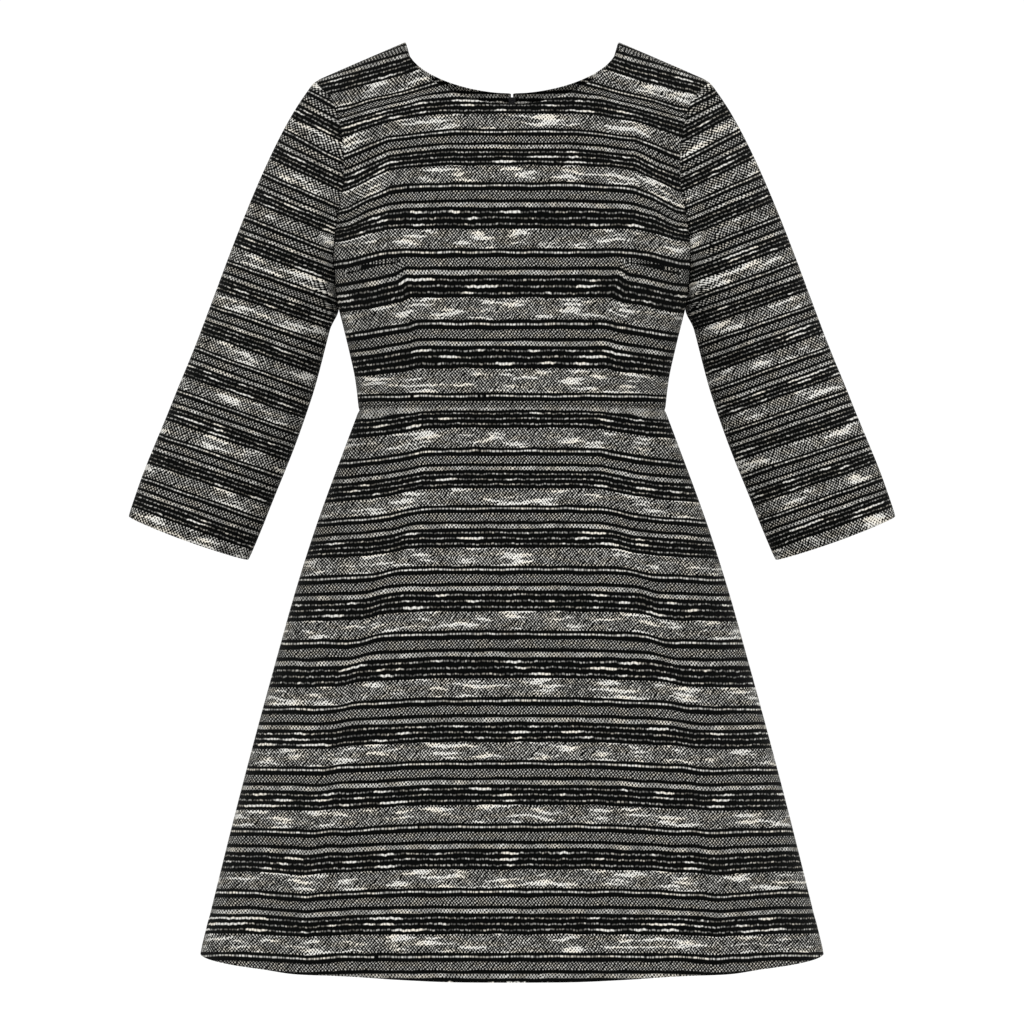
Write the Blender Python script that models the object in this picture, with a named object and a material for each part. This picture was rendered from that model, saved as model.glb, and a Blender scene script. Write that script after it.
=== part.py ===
"""A-line dress with three-quarter sleeves, filled out and hollow, as cut and sewn panels.

Metres, +Z up. The front faces -Y. The origin lies midway between the two neck points, at the
height of the shoulders that carry the dress. Left and right are the wearer's: left is +X.
"""

import math

import bmesh
import bpy
import numpy as np
from mathutils import Matrix

# ---- Driving sizes ---------------------------------------------------------------------------
WALL = 0.0018                # thickness of the cloth
SEAM_GAP = 0.0003            # space between two pieces at a seam
HALF_GAP = SEAM_GAP / 2

NECK_HALF = 0.1048           # neck point from the centre line
NECK_DROP_FRONT = 0.070      # neck points down to the front neckline
NECK_DROP_BACK = 0.0396      # neck points down to the back neckline
NECK_POWER = 1.8             # roundness of both neckline curves
SHOULDER_HALF = 0.190        # shoulder tip from the centre line
SHOULDER_DROP = 0.0362       # neck point down to the shoulder tip
SHOULDER_ROLL = 0.085        # height over which the cloth rolls over the shoulder
ROLL_POWER = 2.3
UNDERARM_Z = -0.2595
WAIST_Z = -0.358
HEM_Z = -0.887

BUST_APEX_X = 0.100
BUST_APEX_Z = -0.216
BUST_RISE = 0.019            # how far each cup stands out of the rib section
BUST_SPREAD_X = 0.047
BUST_SPREAD_UP = 0.062
BUST_SPREAD_DOWN = 0.072

ZIP_HALF_GAP = 0.0016        # half of the slot that the zip closes
ZIP_END_Z = -0.500
ZIP_TAPER = 0.006            # height over which the slot runs out into the closed seam
TAPE_HALF = 0.011
TAPE_THICK = 0.0007
TAPE_CLEAR = 0.0004
COIL_HALF = 0.0012

# Level sections through bodice and skirt. Round is the power of the section's oval.
BODICE_SECTIONS = {
    "columns": ("z", "half_width", "front", "back", "round"),
    "rows": (
        (0.010, 0.212, 0.058, 0.050, 2.3),
        (-0.037, 0.205, 0.066, 0.068, 2.3),
        (-0.060, 0.198, 0.076, 0.081, 2.3),
        (-0.083, 0.192, 0.086, 0.091, 2.3),
        (-0.117, 0.1875, 0.099, 0.102, 2.35),
        (-0.165, 0.1850, 0.110, 0.107, 2.45),
        (-0.188, 0.1835, 0.113, 0.107, 2.5),
        (-0.2126, 0.1805, 0.114, 0.105, 2.5),
        (-0.2395, 0.1735, 0.113, 0.102, 2.5),
        (-0.2595, 0.1687, 0.110, 0.099, 2.45),
        (-0.2993, 0.1589, 0.101, 0.092, 2.35),
        (-0.3290, 0.1526, 0.095, 0.088, 2.3),
        (-0.3580, 0.1492, 0.092, 0.087, 2.25),
    ),
}
SKIRT_SECTIONS = {
    "columns": ("z", "half_width", "front", "back", "round"),
    "rows": (
        (-0.358, 0.1492, 0.092, 0.087, 2.25),
        (-0.397, 0.1638, 0.104, 0.106, 2.25),
        (-0.436, 0.1784, 0.114, 0.122, 2.2),
        (-0.475, 0.1922, 0.123, 0.134, 2.2),
        (-0.533, 0.2106, 0.134, 0.146, 2.15),
        (-0.592, 0.2272, 0.144, 0.154, 2.1),
        (-0.670, 0.2486, 0.157, 0.166, 2.0),
        (-0.748, 0.2691, 0.170, 0.178, 1.9),
        (-0.887, 0.3037, 0.193, 0.200, 1.76),
    ),
}

# The armhole seam, as its distance from the centre line at each height.
ARMHOLE = {
    "columns": ("z", "front_x", "back_x"),
    "rows": (
        (0.010, 0.1900, 0.1900),
        (-0.037, 0.1900, 0.1900),
        (-0.0605, 0.1730, 0.1755),
        (-0.083, 0.1662, 0.1705),
        (-0.117, 0.1612, 0.1672),
        (-0.143, 0.1612, 0.1668),
        (-0.165, 0.1655, 0.1682),
        (-0.188, 0.1692, 0.1705),
        (-0.2126, 0.1716, 0.1722),
        (-0.2395, 0.1705, 0.1706),
        (-0.2595, 0.1687, 0.1687),
    ),
}

# Sleeve sections from the widest part of the upper arm to the cuff edge, square to the arm.
# Toward is a shift towards the body, forward a shift towards the front.
BICEPS = {"x": 0.2322, "z": -0.2584}
CUFF = {"x": 0.3140, "z": -0.4821}
CUFF_BOW = 0.0012            # the cuff edge is this much longer at front and back
CAP_SLACK = 0.35             # how much less the cap stands out over the shoulder tip
RUN_ON = 0.5                 # cosine between two surfaces that count as running on
SLEEVE_SECTIONS = {
    "columns": ("along", "half_width", "half_depth", "toward", "forward"),
    "rows": (
        (0.00, 0.0585, 0.0530, 0.0000, 0.000),
        (0.30, 0.0621, 0.0530, 0.0027, 0.001),
        (0.50, 0.0633, 0.0525, 0.0024, 0.004),
        (0.80, 0.0635, 0.0505, 0.0004, 0.009),
        (1.00, 0.0622, 0.0490, 0.0000, 0.012),
    ),
}

# Soft flutes of the skirt. Place is a share of the way from centre line to side seam at the
# hem and drift is how much nearer the centre line it lies at its top; rise is at the hem.
SKIRT_FLUTES = {
    "columns": ("half", "place", "drift", "top_z", "rise", "spread"),
    "rows": (
        ("front", 0.48, 0.06, -0.46, -0.0050, 0.080),
        ("front", 0.66, 0.10, -0.47, 0.0075, 0.075),
        ("front", 0.84, 0.04, -0.60, -0.0030, 0.060),
        ("front", 0.20, 0.04, -0.56, 0.0030, 0.100),
        ("back", 0.32, 0.05, -0.55, 0.0070, 0.080),
        ("back", 0.50, 0.08, -0.50, -0.0065, 0.070),
        ("back", 0.68, 0.10, -0.47, 0.0095, 0.075),
        ("back", 0.86, 0.03, -0.62, -0.0045, 0.055),
    ),
}

HALF_COLUMNS_NECK = 7        # columns from the centre line to the neck point
HALF_COLUMNS_SHOULDER = 9    # columns from the neck point to the shoulder tip
ROWS_BELOW_UNDERARM = 5
ROWS_ABOVE_UNDERARM = 12
SKIRT_HALF_COLUMNS = 18
SKIRT_ROWS_TO_ZIP_END = 5
SKIRT_ROWS_BELOW = 9
CAP_ROWS = 7
ARM_ROWS = 8

# Slider and pull of the zip, measured along the seam (down) and out of the cloth.
SLIDER_Z = -0.058
SLIDER_HALF_WIDTH = 0.0029
SLIDER_HALF_LENGTH = 0.0046
SLIDER_FOOT = 0.0004
SLIDER_TOP = 0.0022
LUG_INNER = 0.0015
LUG_OUTER = 0.0024
LUG_HALF_LENGTH = 0.0013
PIN_UP = 0.0020              # the pin lies this far towards the neck from the slider's middle
PIN_OUT = 0.0041
PIN_RADIUS = 0.0005
EYE_INNER = 0.0008
EYE_OUTER = 0.0014
EYE_HALF_WIDTH = 0.0012
PULL_LENGTH = 0.0200
PULL_HALF_WIDTH = 0.0030
PULL_HALF_THICK = 0.0005
PULL_LEAN = math.radians(6.0)

TWEED = {"base": (0.105, 0.105, 0.100, 1.0), "roughness": 0.85, "metallic": 0.0}
TAPE = {"base": (0.012, 0.012, 0.012, 1.0), "roughness": 0.80, "metallic": 0.0}
METAL = {"base": (0.060, 0.060, 0.065, 1.0), "roughness": 0.35, "metallic": 1.0}


# ---- Curves through tables -------------------------------------------------------------------
def monotone(xs, ys):
    """Return a smooth function through the points that never overshoots them."""
    xs = np.asarray(xs, float)
    ys = np.asarray(ys, float)
    order = np.argsort(xs)
    xs = xs[order]
    ys = ys[order]
    widths = np.diff(xs)
    secants = np.diff(ys) / widths
    slopes = np.zeros(len(xs))
    slopes[0] = secants[0]
    slopes[-1] = secants[-1]
    for i in range(1, len(xs) - 1):
        before, after = secants[i - 1], secants[i]
        if before * after > 0.0:
            w1 = 2 * widths[i] + widths[i - 1]
            w2 = widths[i] + 2 * widths[i - 1]
            slopes[i] = (w1 + w2) / (w1 / before + w2 / after)

    def value(x):
        x = min(max(x, xs[0]), xs[-1])
        i = min(int(np.searchsorted(xs, x, side="right")) - 1, len(xs) - 2)
        h = widths[i]
        t = (x - xs[i]) / h
        return float(
            ys[i] * (1 + 2 * t) * (1 - t) ** 2
            + slopes[i] * h * t * (1 - t) ** 2
            + ys[i + 1] * t * t * (3 - 2 * t)
            + slopes[i + 1] * h * t * t * (t - 1)
        )

    return value


def columns_of(table, key):
    """Return one smooth function of the table's key column for each other column."""
    names = table["columns"]
    values = list(zip(*table["rows"]))
    keys = values[names.index(key)]
    return {n: monotone(keys, v) for n, v in zip(names, values) if n != key}


BODICE = columns_of(BODICE_SECTIONS, "z")
SKIRT = columns_of(SKIRT_SECTIONS, "z")
EDGE = columns_of(ARMHOLE, "z")
SLEEVE = columns_of(SLEEVE_SECTIONS, "along")


# ---- The form --------------------------------------------------------------------------------
def shoulder_line(x):
    """Height of the shoulder seam at x, run on towards the neck."""
    slope = SHOULDER_DROP / (SHOULDER_HALF - NECK_HALF)
    return -slope * (abs(x) - NECK_HALF)


def top_edge(x, drop):
    """Height of the neckline, or past the neck point of the shoulder seam, at x."""
    x = abs(x)
    if x >= NECK_HALF:
        return shoulder_line(x)
    return -drop * (1 - (x / NECK_HALF) ** NECK_POWER) ** (1 / NECK_POWER)


def bust(x, z):
    """How far the cups stand out of the rib section at a point of the front."""
    spread = BUST_SPREAD_UP if z > BUST_APEX_Z else BUST_SPREAD_DOWN
    across = ((abs(x) - BUST_APEX_X) / BUST_SPREAD_X) ** 2
    upright = ((z - BUST_APEX_Z) / spread) ** 2
    to_waist = min(1.0, (z - WAIST_Z) / 0.05)
    return BUST_RISE * math.exp(-across - upright) * to_waist


def section_depth(sections, half, x, z):
    """Depth of a plain section at x, and the share of its half width that x is."""
    share = min(abs(x) / sections["half_width"](z), 1.0)
    power = sections["round"](z)
    return sections[half](z) * (1 - share ** power) ** (1 / power), share


def bodice_point(half, x, z):
    """Point of the bodice's outer surface over x, z."""
    depth, share = section_depth(BODICE, half, x, z)
    if half == "front":
        depth += bust(x, z) * (1 - share ** 6)
    below = min(max((shoulder_line(x) - z) / SHOULDER_ROLL, 0.0), 1.0)
    depth *= (1 - (1 - below) ** ROLL_POWER) ** (1 / ROLL_POWER)
    return np.array((x, -depth if half == "front" else depth, z))


def flute_rise(half, share, z):
    """How far the skirt's flutes push the cloth out at a share of its half width."""
    total = 0.0
    for owner, place, drift, top_z, rise, spread in SKIRT_FLUTES["rows"]:
        if owner != half or z >= top_z:
            continue
        down = (top_z - z) / (top_z - HEM_Z)
        centre = place - drift * (1 - down)
        total += rise * down ** 1.3 * math.exp(-(((share - centre) / spread) ** 2))
    return total * (1 - share ** 8)


def skirt_point(half, x, z):
    """Point of the skirt's outer surface; flutes push it out square to its section."""
    depth, share = section_depth(SKIRT, half, x, z)
    width = SKIRT["half_width"](z)
    power = SKIRT["round"](z)
    lean_x = share ** (power - 1) / width
    lean_y = (depth / SKIRT[half](z)) ** (power - 1) / SKIRT[half](z)
    length = math.hypot(lean_x, lean_y)
    rise = flute_rise(half, share, z)
    x += math.copysign(rise * lean_x / length, x)
    depth += rise * lean_y / length
    return np.array((x, -depth if half == "front" else depth, z))


# ---- Shells ----------------------------------------------------------------------------------
def grid_normals(grid, closed):
    """Unit normals of a grid of points, from the points on either side of each."""
    if closed:
        across = np.roll(grid, -1, axis=1) - np.roll(grid, 1, axis=1)
    else:
        across = np.gradient(grid, axis=1)
    along = np.gradient(grid, axis=0)
    normals = np.cross(across, along)
    return normals / np.linalg.norm(normals, axis=2, keepdims=True)


def flatten_normals(normals, rows, cols, axis):
    """Turn the normals of an edge into the plane of its seam."""
    edge = normals[rows, cols].copy()
    edge[..., axis] = 0.0
    normals[rows, cols] = edge / np.linalg.norm(edge, axis=-1, keepdims=True)


def shell_mesh(outer, normals, closed):
    """Return vertices and faces of a wall of cloth behind a grid of outer points."""
    rows, cols = outer.shape[:2]
    inner = outer - normals * WALL
    points = np.concatenate((outer.reshape(-1, 3), inner.reshape(-1, 3)))
    back = rows * cols
    faces = []

    def at(i, j):
        return i * cols + j % cols

    spans = cols if closed else cols - 1
    for i in range(rows - 1):
        for j in range(spans):
            a, b, c, d = at(i, j), at(i, j + 1), at(i + 1, j + 1), at(i + 1, j)
            faces.append((a, b, c, d))
            faces.append((a + back, d + back, c + back, b + back))
    for j in range(spans):
        a, b = at(0, j), at(0, j + 1)
        faces.append((b, a, a + back, b + back))
        c, d = at(rows - 1, j), at(rows - 1, j + 1)
        faces.append((c, d, d + back, c + back))
    if not closed:
        for i in range(rows - 1):
            a, d = at(i, 0), at(i + 1, 0)
            faces.append((a, d, d + back, a + back))
            b, c = at(i, cols - 1), at(i + 1, cols - 1)
            faces.append((c, b, b + back, c + back))
    return points, faces


def material(name, finish):
    """Return a Principled material of one of the finishes above."""
    made = bpy.data.materials.new(name)
    made.use_nodes = True
    shader = made.node_tree.nodes["Principled BSDF"]
    shader.inputs["Base Color"].default_value = finish["base"]
    shader.inputs["Roughness"].default_value = finish["roughness"]
    shader.inputs["Metallic"].default_value = finish["metallic"]
    made.diffuse_color = finish["base"]
    return made


def add_object(name, points, faces, finish):
    """Add one closed body, its faces turned out and cut into triangles."""
    mesh = bpy.data.meshes.new(name)
    mesh.from_pydata([tuple(p) for p in points], [], faces)
    shaped = bmesh.new()
    shaped.from_mesh(mesh)
    if shaped.calc_volume(signed=True) < 0.0:
        bmesh.ops.reverse_faces(shaped, faces=shaped.faces)
    bmesh.ops.triangulate(shaped, faces=shaped.faces, quad_method="BEAUTY")
    shaped.to_mesh(mesh)
    shaped.free()
    mesh.shade_smooth()
    mesh.set_sharp_from_angle(angle=math.radians(40))
    mesh.materials.append(material(name, finish))
    made = bpy.data.objects.new(name, mesh)
    bpy.context.scene.collection.objects.link(made)
    return made


# ---- Bodice ----------------------------------------------------------------------------------
def column_shares(start):
    """Shares of the way from the centre edge to the side, with one at the neck point."""
    neck = (NECK_HALF - start) / (SHOULDER_HALF - start)
    turn = math.asin(neck ** 1.15)
    inner = turn * np.sin(np.linspace(0.0, math.pi / 2, HALF_COLUMNS_NECK + 1)) ** 0.9
    outer = np.linspace(turn, math.pi / 2, HALF_COLUMNS_SHOULDER + 1)[1:]
    return np.sin(np.concatenate((inner, outer))) ** (1 / 1.15)


def top_height(half, share, start, drop):
    """Height at which a column meets the neckline or the shoulder seam."""
    low, high = UNDERARM_Z, 0.005
    for _ in range(60):
        z = (low + high) / 2
        x = start + (EDGE[half + "_x"](z) - start) * share
        if top_edge(x, drop) > z:
            low = z
        else:
            high = z
    return (low + high) / 2


def side_width(half, z):
    """Distance of the side seam, or above the underarm of the armhole, at a height."""
    if z <= UNDERARM_Z:
        return BODICE["half_width"](z)
    return EDGE[half + "_x"](z)


def bodice_half_grid(half, start, drop):
    """Grid of one half panel, rows from the waist up, columns from the centre out."""
    waist = WAIST_Z + HALF_GAP
    low = np.linspace(waist, UNDERARM_Z, ROWS_BELOW_UNDERARM + 1)
    steps = (1 - np.cos(np.linspace(0, math.pi, ROWS_ABOVE_UNDERARM + 1)[1:])) / 2
    columns = []
    for share in column_shares(start):
        top = top_height(half, share, start, drop)
        heights = np.concatenate((low, UNDERARM_Z + (top - UNDERARM_Z) * steps))
        column = []
        for z in heights:
            x = start + (side_width(half, z) - start) * share
            point = bodice_point(half, x, z)
            outward = -1.0 if half == "front" else 1.0
            point[1] = outward * max(abs(point[1]), HALF_GAP)
            column.append(point)
        columns.append(column)
    return np.array(columns).transpose(1, 0, 2)


def mirror_grid(grid):
    """Return the grid mirrored to the other side, columns in reverse."""
    return grid[:, ::-1] * np.array((-1.0, 1.0, 1.0))


def turn_out(normals, grid):
    """Make the normals point away from the dress's middle line."""
    middle = grid[grid.shape[0] // 3, grid.shape[1] // 2] * np.array((1.0, 1.0, 0.0))
    facing = normals[grid.shape[0] // 3, grid.shape[1] // 2]
    return normals if np.dot(middle, facing) > 0 else -normals


def bodice_normals(grid, edges):
    """Normals of a bodice panel; edges names the seam at its first and last column."""
    normals = turn_out(grid_normals(grid, False), grid)
    flatten_normals(normals, slice(0, 1), slice(None), 2)
    seam_rows = slice(0, ROWS_BELOW_UNDERARM + 1)
    for column, edge in zip((0, -1), edges):
        if edge == "side":
            flatten_normals(normals, seam_rows, slice(column, column + 1 or None), 1)
        else:
            flatten_normals(normals, slice(None), slice(column, column + 1 or None), 0)
    on_shoulder = np.abs(grid[-1, :, 0]) >= NECK_HALF - 1e-6
    top = normals[-1].copy()
    top[on_shoulder, 1] = 0.0
    normals[-1] = top / np.linalg.norm(top, axis=-1, keepdims=True)
    return normals


def make_bodice():
    """Add the front and the two backs; return the half grids that other pieces follow."""
    front = bodice_half_grid("front", 0.0, NECK_DROP_FRONT)
    whole = np.concatenate((mirror_grid(front)[:, :-1], front), axis=1)
    normals = bodice_normals(whole, ("side", "side"))
    add_object("bodice_front", *shell_mesh(whole, normals, False), TWEED)

    back = bodice_half_grid("back", ZIP_HALF_GAP, NECK_DROP_BACK)
    back_normals = bodice_normals(back, ("centre", "side"))
    add_object("bodice_back_left", *shell_mesh(back, back_normals, False), TWEED)
    other = mirror_grid(back)
    other_normals = mirror_grid(back_normals)
    add_object("bodice_back_right", *shell_mesh(other, other_normals, False), TWEED)
    return {
        "front": front,
        "front_normals": normals[:, front.shape[1] - 1 :],
        "back": back,
        "back_normals": back_normals,
    }


# ---- Skirt -----------------------------------------------------------------------------------
def skirt_heights():
    """Heights of the skirt's rows, one of them at the end of the zip."""
    upper = np.linspace(WAIST_Z - HALF_GAP, ZIP_END_Z, SKIRT_ROWS_TO_ZIP_END + 1)
    lower = np.linspace(ZIP_END_Z - ZIP_TAPER, HEM_Z, SKIRT_ROWS_BELOW + 1)
    return np.concatenate((upper, lower))


def skirt_half_grid(half):
    """Grid of one half of the skirt, rows from the waist down, columns from the centre out."""
    turns = np.linspace(0.0, math.pi / 2, SKIRT_HALF_COLUMNS + 1)
    rows = []
    for z in skirt_heights():
        start = 0.0
        if half == "back":
            start = ZIP_HALF_GAP if z >= ZIP_END_Z - 1e-9 else HALF_GAP
        width = SKIRT["half_width"](z)
        row = []
        for turn in turns:
            x = start + (width - start) * math.sin(turn) ** 0.92
            point = skirt_point(half, x, z)
            outward = -1.0 if half == "front" else 1.0
            point[1] = outward * max(abs(point[1]), HALF_GAP)
            row.append(point)
        rows.append(row)
    return np.array(rows)


def skirt_normals(grid, edges):
    """Normals of a skirt panel, level at waist and hem and square to its side seams."""
    normals = turn_out(grid_normals(grid, False), grid)
    flatten_normals(normals, slice(0, 1), slice(None), 2)
    flatten_normals(normals, slice(-1, None), slice(None), 2)
    for column, edge in zip((0, -1), edges):
        axis = 1 if edge == "side" else 0
        flatten_normals(normals, slice(None), slice(column, column + 1 or None), axis)
    return normals


def make_skirt():
    """Add the skirt's front and two backs; return the back half that the zip follows."""
    front = skirt_half_grid("front")
    whole = np.concatenate((mirror_grid(front)[:, :-1], front), axis=1)
    normals = skirt_normals(whole, ("side", "side"))
    add_object("skirt_front", *shell_mesh(whole, normals, False), TWEED)

    back = skirt_half_grid("back")
    back_normals = skirt_normals(back, ("centre", "side"))
    add_object("skirt_back_left", *shell_mesh(back, back_normals, False), TWEED)
    other = mirror_grid(back)
    add_object("skirt_back_right", *shell_mesh(other, mirror_grid(back_normals), False), TWEED)
    return {"back": back, "back_normals": back_normals}


# ---- Sleeves ---------------------------------------------------------------------------------
def arm_frame():
    """Return the arm's axis and the direction square to it, away from the body."""
    axis = np.array((CUFF["x"] - BICEPS["x"], 0.0, CUFF["z"] - BICEPS["z"]))
    length = float(np.linalg.norm(axis))
    axis /= length
    outward = np.array((-axis[2], 0.0, axis[0]))
    return axis, outward, length


def arm_ring(along, turns):
    """Ring of the sleeve square to the arm; turn 0 is the inner side, half a turn the outer."""
    axis, outward, length = arm_frame()
    width = SLEEVE["half_width"](along)
    depth = SLEEVE["half_depth"](along)
    centre = np.array((BICEPS["x"], 0.0, BICEPS["z"])) + axis * length * along
    centre = centre - outward * SLEEVE["toward"](along)
    centre[1] -= SLEEVE["forward"](along)
    points = []
    for turn in turns:
        point = centre - outward * width * math.cos(turn)
        point = point + np.array((0.0, -depth * math.sin(turn), 0.0))
        points.append(point + axis * CUFF_BOW * along * math.sin(turn) ** 2)
    return np.array(points)


def armhole_ring(bodice):
    """Points and normals of the armhole seam, from the underarm up the front, down the back."""
    front = bodice["front"][ROWS_BELOW_UNDERARM:, -1].copy()
    back = bodice["back"][ROWS_BELOW_UNDERARM:, -1]
    front[0, 1] = 0.0
    front[-1, 1] = 0.0
    ring = np.concatenate((front, back[::-1][1:-1]))
    front_normals = bodice["front_normals"][ROWS_BELOW_UNDERARM:, -1]
    back_normals = bodice["back_normals"][ROWS_BELOW_UNDERARM:, -1]
    normals = np.concatenate((front_normals, back_normals[::-1][1:-1]))
    return ring, normals, len(front) - 1


def ring_turns(ring, top):
    """Angle of each armhole point round the sleeve, by its share of the seam's length."""
    closed = np.concatenate((ring, ring[:1]))
    steps = np.linalg.norm(np.diff(closed, axis=0), axis=1)
    travelled = np.concatenate(([0.0], np.cumsum(steps)))
    front = math.pi * travelled[: top + 1] / travelled[top]
    rest = (travelled[top + 1 : -1] - travelled[top]) / (travelled[-1] - travelled[top])
    return np.concatenate((front, math.pi * (1 + rest)))


def leaving(turn):
    """Direction in which the sleeve leaves the armhole: out at the front, down underneath."""
    over = (1 - math.cos(turn)) / 2
    around = math.sin(turn) ** 2
    out = 0.36 + 0.34 * over + 0.36 * around
    down = 0.94 - 0.22 * over - 0.36 * around
    direction = np.array((out, 0.0, -down))
    return direction / np.linalg.norm(direction)


def sleeve_grid(bodice):
    """Grid of the left sleeve, rows from the armhole to the cuff, columns all round."""
    ring, _, top = armhole_ring(bodice)
    turns = ring_turns(ring, top)
    axis = arm_frame()[0]
    upper = arm_ring(0.0, turns)
    starts = np.array([p + leaving(t) * SEAM_GAP * 1.3 for p, t in zip(ring, turns)])
    rows = []
    for step in range(CAP_ROWS):
        s = (step / CAP_ROWS) ** 1.15
        row = []
        for start, end, turn in zip(starts, upper, turns):
            span = float(np.linalg.norm(end - start))
            pull = 1 - CAP_SLACK * (1 - math.cos(turn)) / 2
            row.append(
                start * (1 + 2 * s) * (1 - s) ** 2
                + leaving(turn) * span * pull * s * (1 - s) ** 2
                + end * s * s * (3 - 2 * s)
                + axis * span * s * s * (s - 1)
            )
        rows.append(row)
    for along in np.linspace(0.0, 1.0, ARM_ROWS + 1):
        rows.append(arm_ring(along, turns))
    return np.array(rows)


def cap_edge_normals(sleeve, bodice):
    """Normals of the sleeve's first ring, square to the bodice's edge where the two run on."""
    alike = np.clip(np.sum(sleeve * bodice, axis=1, keepdims=True) / RUN_ON, 0.0, 1.0)
    mixed = bodice * alike + sleeve * (1 - alike)
    return mixed / np.linalg.norm(mixed, axis=1, keepdims=True)


def make_sleeves(bodice):
    """Add the two sleeves, each one piece of cloth sewn to itself under the arm."""
    grid = sleeve_grid(bodice)
    normals = grid_normals(grid, True)
    middle = grid.shape[0] - 3
    centre = grid[middle].mean(axis=0)
    if np.dot(grid[middle, 0] - centre, normals[middle, 0]) < 0:
        normals = -normals
    normals[0] = cap_edge_normals(normals[0], armhole_ring(bodice)[1])
    add_object("sleeve_left", *shell_mesh(grid, normals, True), TWEED)
    flip = np.array((-1.0, 1.0, 1.0))
    add_object("sleeve_right", *shell_mesh(grid * flip, normals * flip, True), TWEED)


# ---- Zip -------------------------------------------------------------------------------------
def zip_route(bodice, skirt):
    """Points and normals down the centre back, from the neckline to the end of the zip."""
    upper = bodice["back"][::-1, 0]
    upper_normals = bodice["back_normals"][::-1, 0]
    last = SKIRT_ROWS_TO_ZIP_END + 1
    lower = skirt["back"][1:last, 0]
    lower_normals = skirt["back_normals"][1:last, 0]
    points = np.concatenate((upper, lower)) * np.array((0.0, 1.0, 1.0))
    return points, np.concatenate((upper_normals, lower_normals))


def make_zip_tape(points, normals):
    """Add the closed coil in its slot with the woven tape behind the cloth."""
    behind = WALL + TAPE_CLEAR
    section = (
        (-COIL_HALF, 0.0),
        (-COIL_HALF, behind),
        (-TAPE_HALF, behind),
        (-TAPE_HALF, behind + TAPE_THICK),
        (TAPE_HALF, behind + TAPE_THICK),
        (TAPE_HALF, behind),
        (COIL_HALF, behind),
        (COIL_HALF, 0.0),
    )
    corners = []
    for point, normal in zip(points, normals):
        for across, inward in section:
            corners.append(point - normal * inward + np.array((across, 0.0, 0.0)))
    count = len(section)
    faces = []
    for i in range(len(points) - 1):
        for j in range(count):
            a, b = i * count + j, i * count + (j + 1) % count
            faces.append((a, b, b + count, a + count))
    last = (len(points) - 1) * count
    for base, order in ((0, 1), (last, -1)):
        ridge = [base + k for k in (0, 1, 6, 7)]
        band = [base + k for k in (1, 2, 3, 4, 5, 6)]
        faces.append(tuple(ridge[::-order]))
        faces.append(tuple(band[::-order]))
    add_object("zip_tape", corners, faces, TAPE)


def seam_frame(points, z):
    """Return a matrix at a height of the centre back: X across, Y out of the cloth, Z up it."""
    for upper, lower in zip(points[:-1], points[1:]):
        if lower[2] <= z <= upper[2]:
            share = (upper[2] - z) / (upper[2] - lower[2])
            place = upper + (lower - upper) * share
            up = (upper - lower) / np.linalg.norm(upper - lower)
            out = np.array((0.0, up[2], -up[1]))
            frame = Matrix.Identity(4)
            frame.col[1] = (*out, 0.0)
            frame.col[2] = (*up, 0.0)
            frame.col[3] = (*place, 1.0)
            return frame
    raise ValueError("height is not on the centre back")


def box_mesh(low, high):
    """Vertices and faces of a box between two corners."""
    xs, ys, zs = zip(low, high)
    points = [(x, y, z) for x in xs for y in ys for z in zs]
    faces = [(0, 1, 3, 2), (4, 6, 7, 5), (0, 4, 5, 1), (2, 3, 7, 6), (0, 2, 6, 4), (1, 5, 7, 3)]
    return points, faces


def barrel_mesh(radius, half_width, out, up, sides):
    """Vertices and faces of a cylinder along X about a point out of and up the seam."""
    points = []
    for side in (-1, 1):
        for i in range(sides):
            turn = 2 * math.pi * i / sides
            y = out + radius * math.cos(turn)
            points.append((side * half_width, y, up + radius * math.sin(turn)))
    faces = [tuple(range(sides)), tuple(range(2 * sides - 1, sides - 1, -1))]
    for i in range(sides):
        j = (i + 1) % sides
        faces.append((i, i + sides, j + sides, j))
    return points, faces


def joined(base, tool, operation):
    """Join the tool into the base, or cut it out, with a Boolean that stays on the base."""
    tool.hide_render = True
    tool.display_type = "WIRE"
    change = base.modifiers.new(tool.name, "BOOLEAN")
    change.operation = operation
    change.object = tool


def make_slider(frame):
    """Add the slider: a plate over the closed coil, two lugs and the pin between them."""
    plate = box_mesh(
        (-SLIDER_HALF_WIDTH, SLIDER_FOOT, -SLIDER_HALF_LENGTH),
        (SLIDER_HALF_WIDTH, SLIDER_TOP, SLIDER_HALF_LENGTH),
    )
    slider = add_object("zip_slider", *plate, METAL)
    slider.matrix_world = frame
    for side in (-1, 1):
        near, far = sorted((side * LUG_INNER, side * LUG_OUTER))
        lug = box_mesh(
            (near, SLIDER_TOP - 0.0004, PIN_UP - LUG_HALF_LENGTH),
            (far, PIN_OUT + 0.0010, PIN_UP + LUG_HALF_LENGTH),
        )
        tool = add_object("guide_lug_left" if side > 0 else "guide_lug_right", *lug, METAL)
        tool.matrix_world = frame
        joined(slider, tool, "UNION")
    pin_half = (LUG_INNER + LUG_OUTER) / 2
    pin = add_object("guide_pin", *barrel_mesh(PIN_RADIUS, pin_half, PIN_OUT, PIN_UP, 10), METAL)
    pin.matrix_world = frame
    joined(slider, pin, "UNION")


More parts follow.
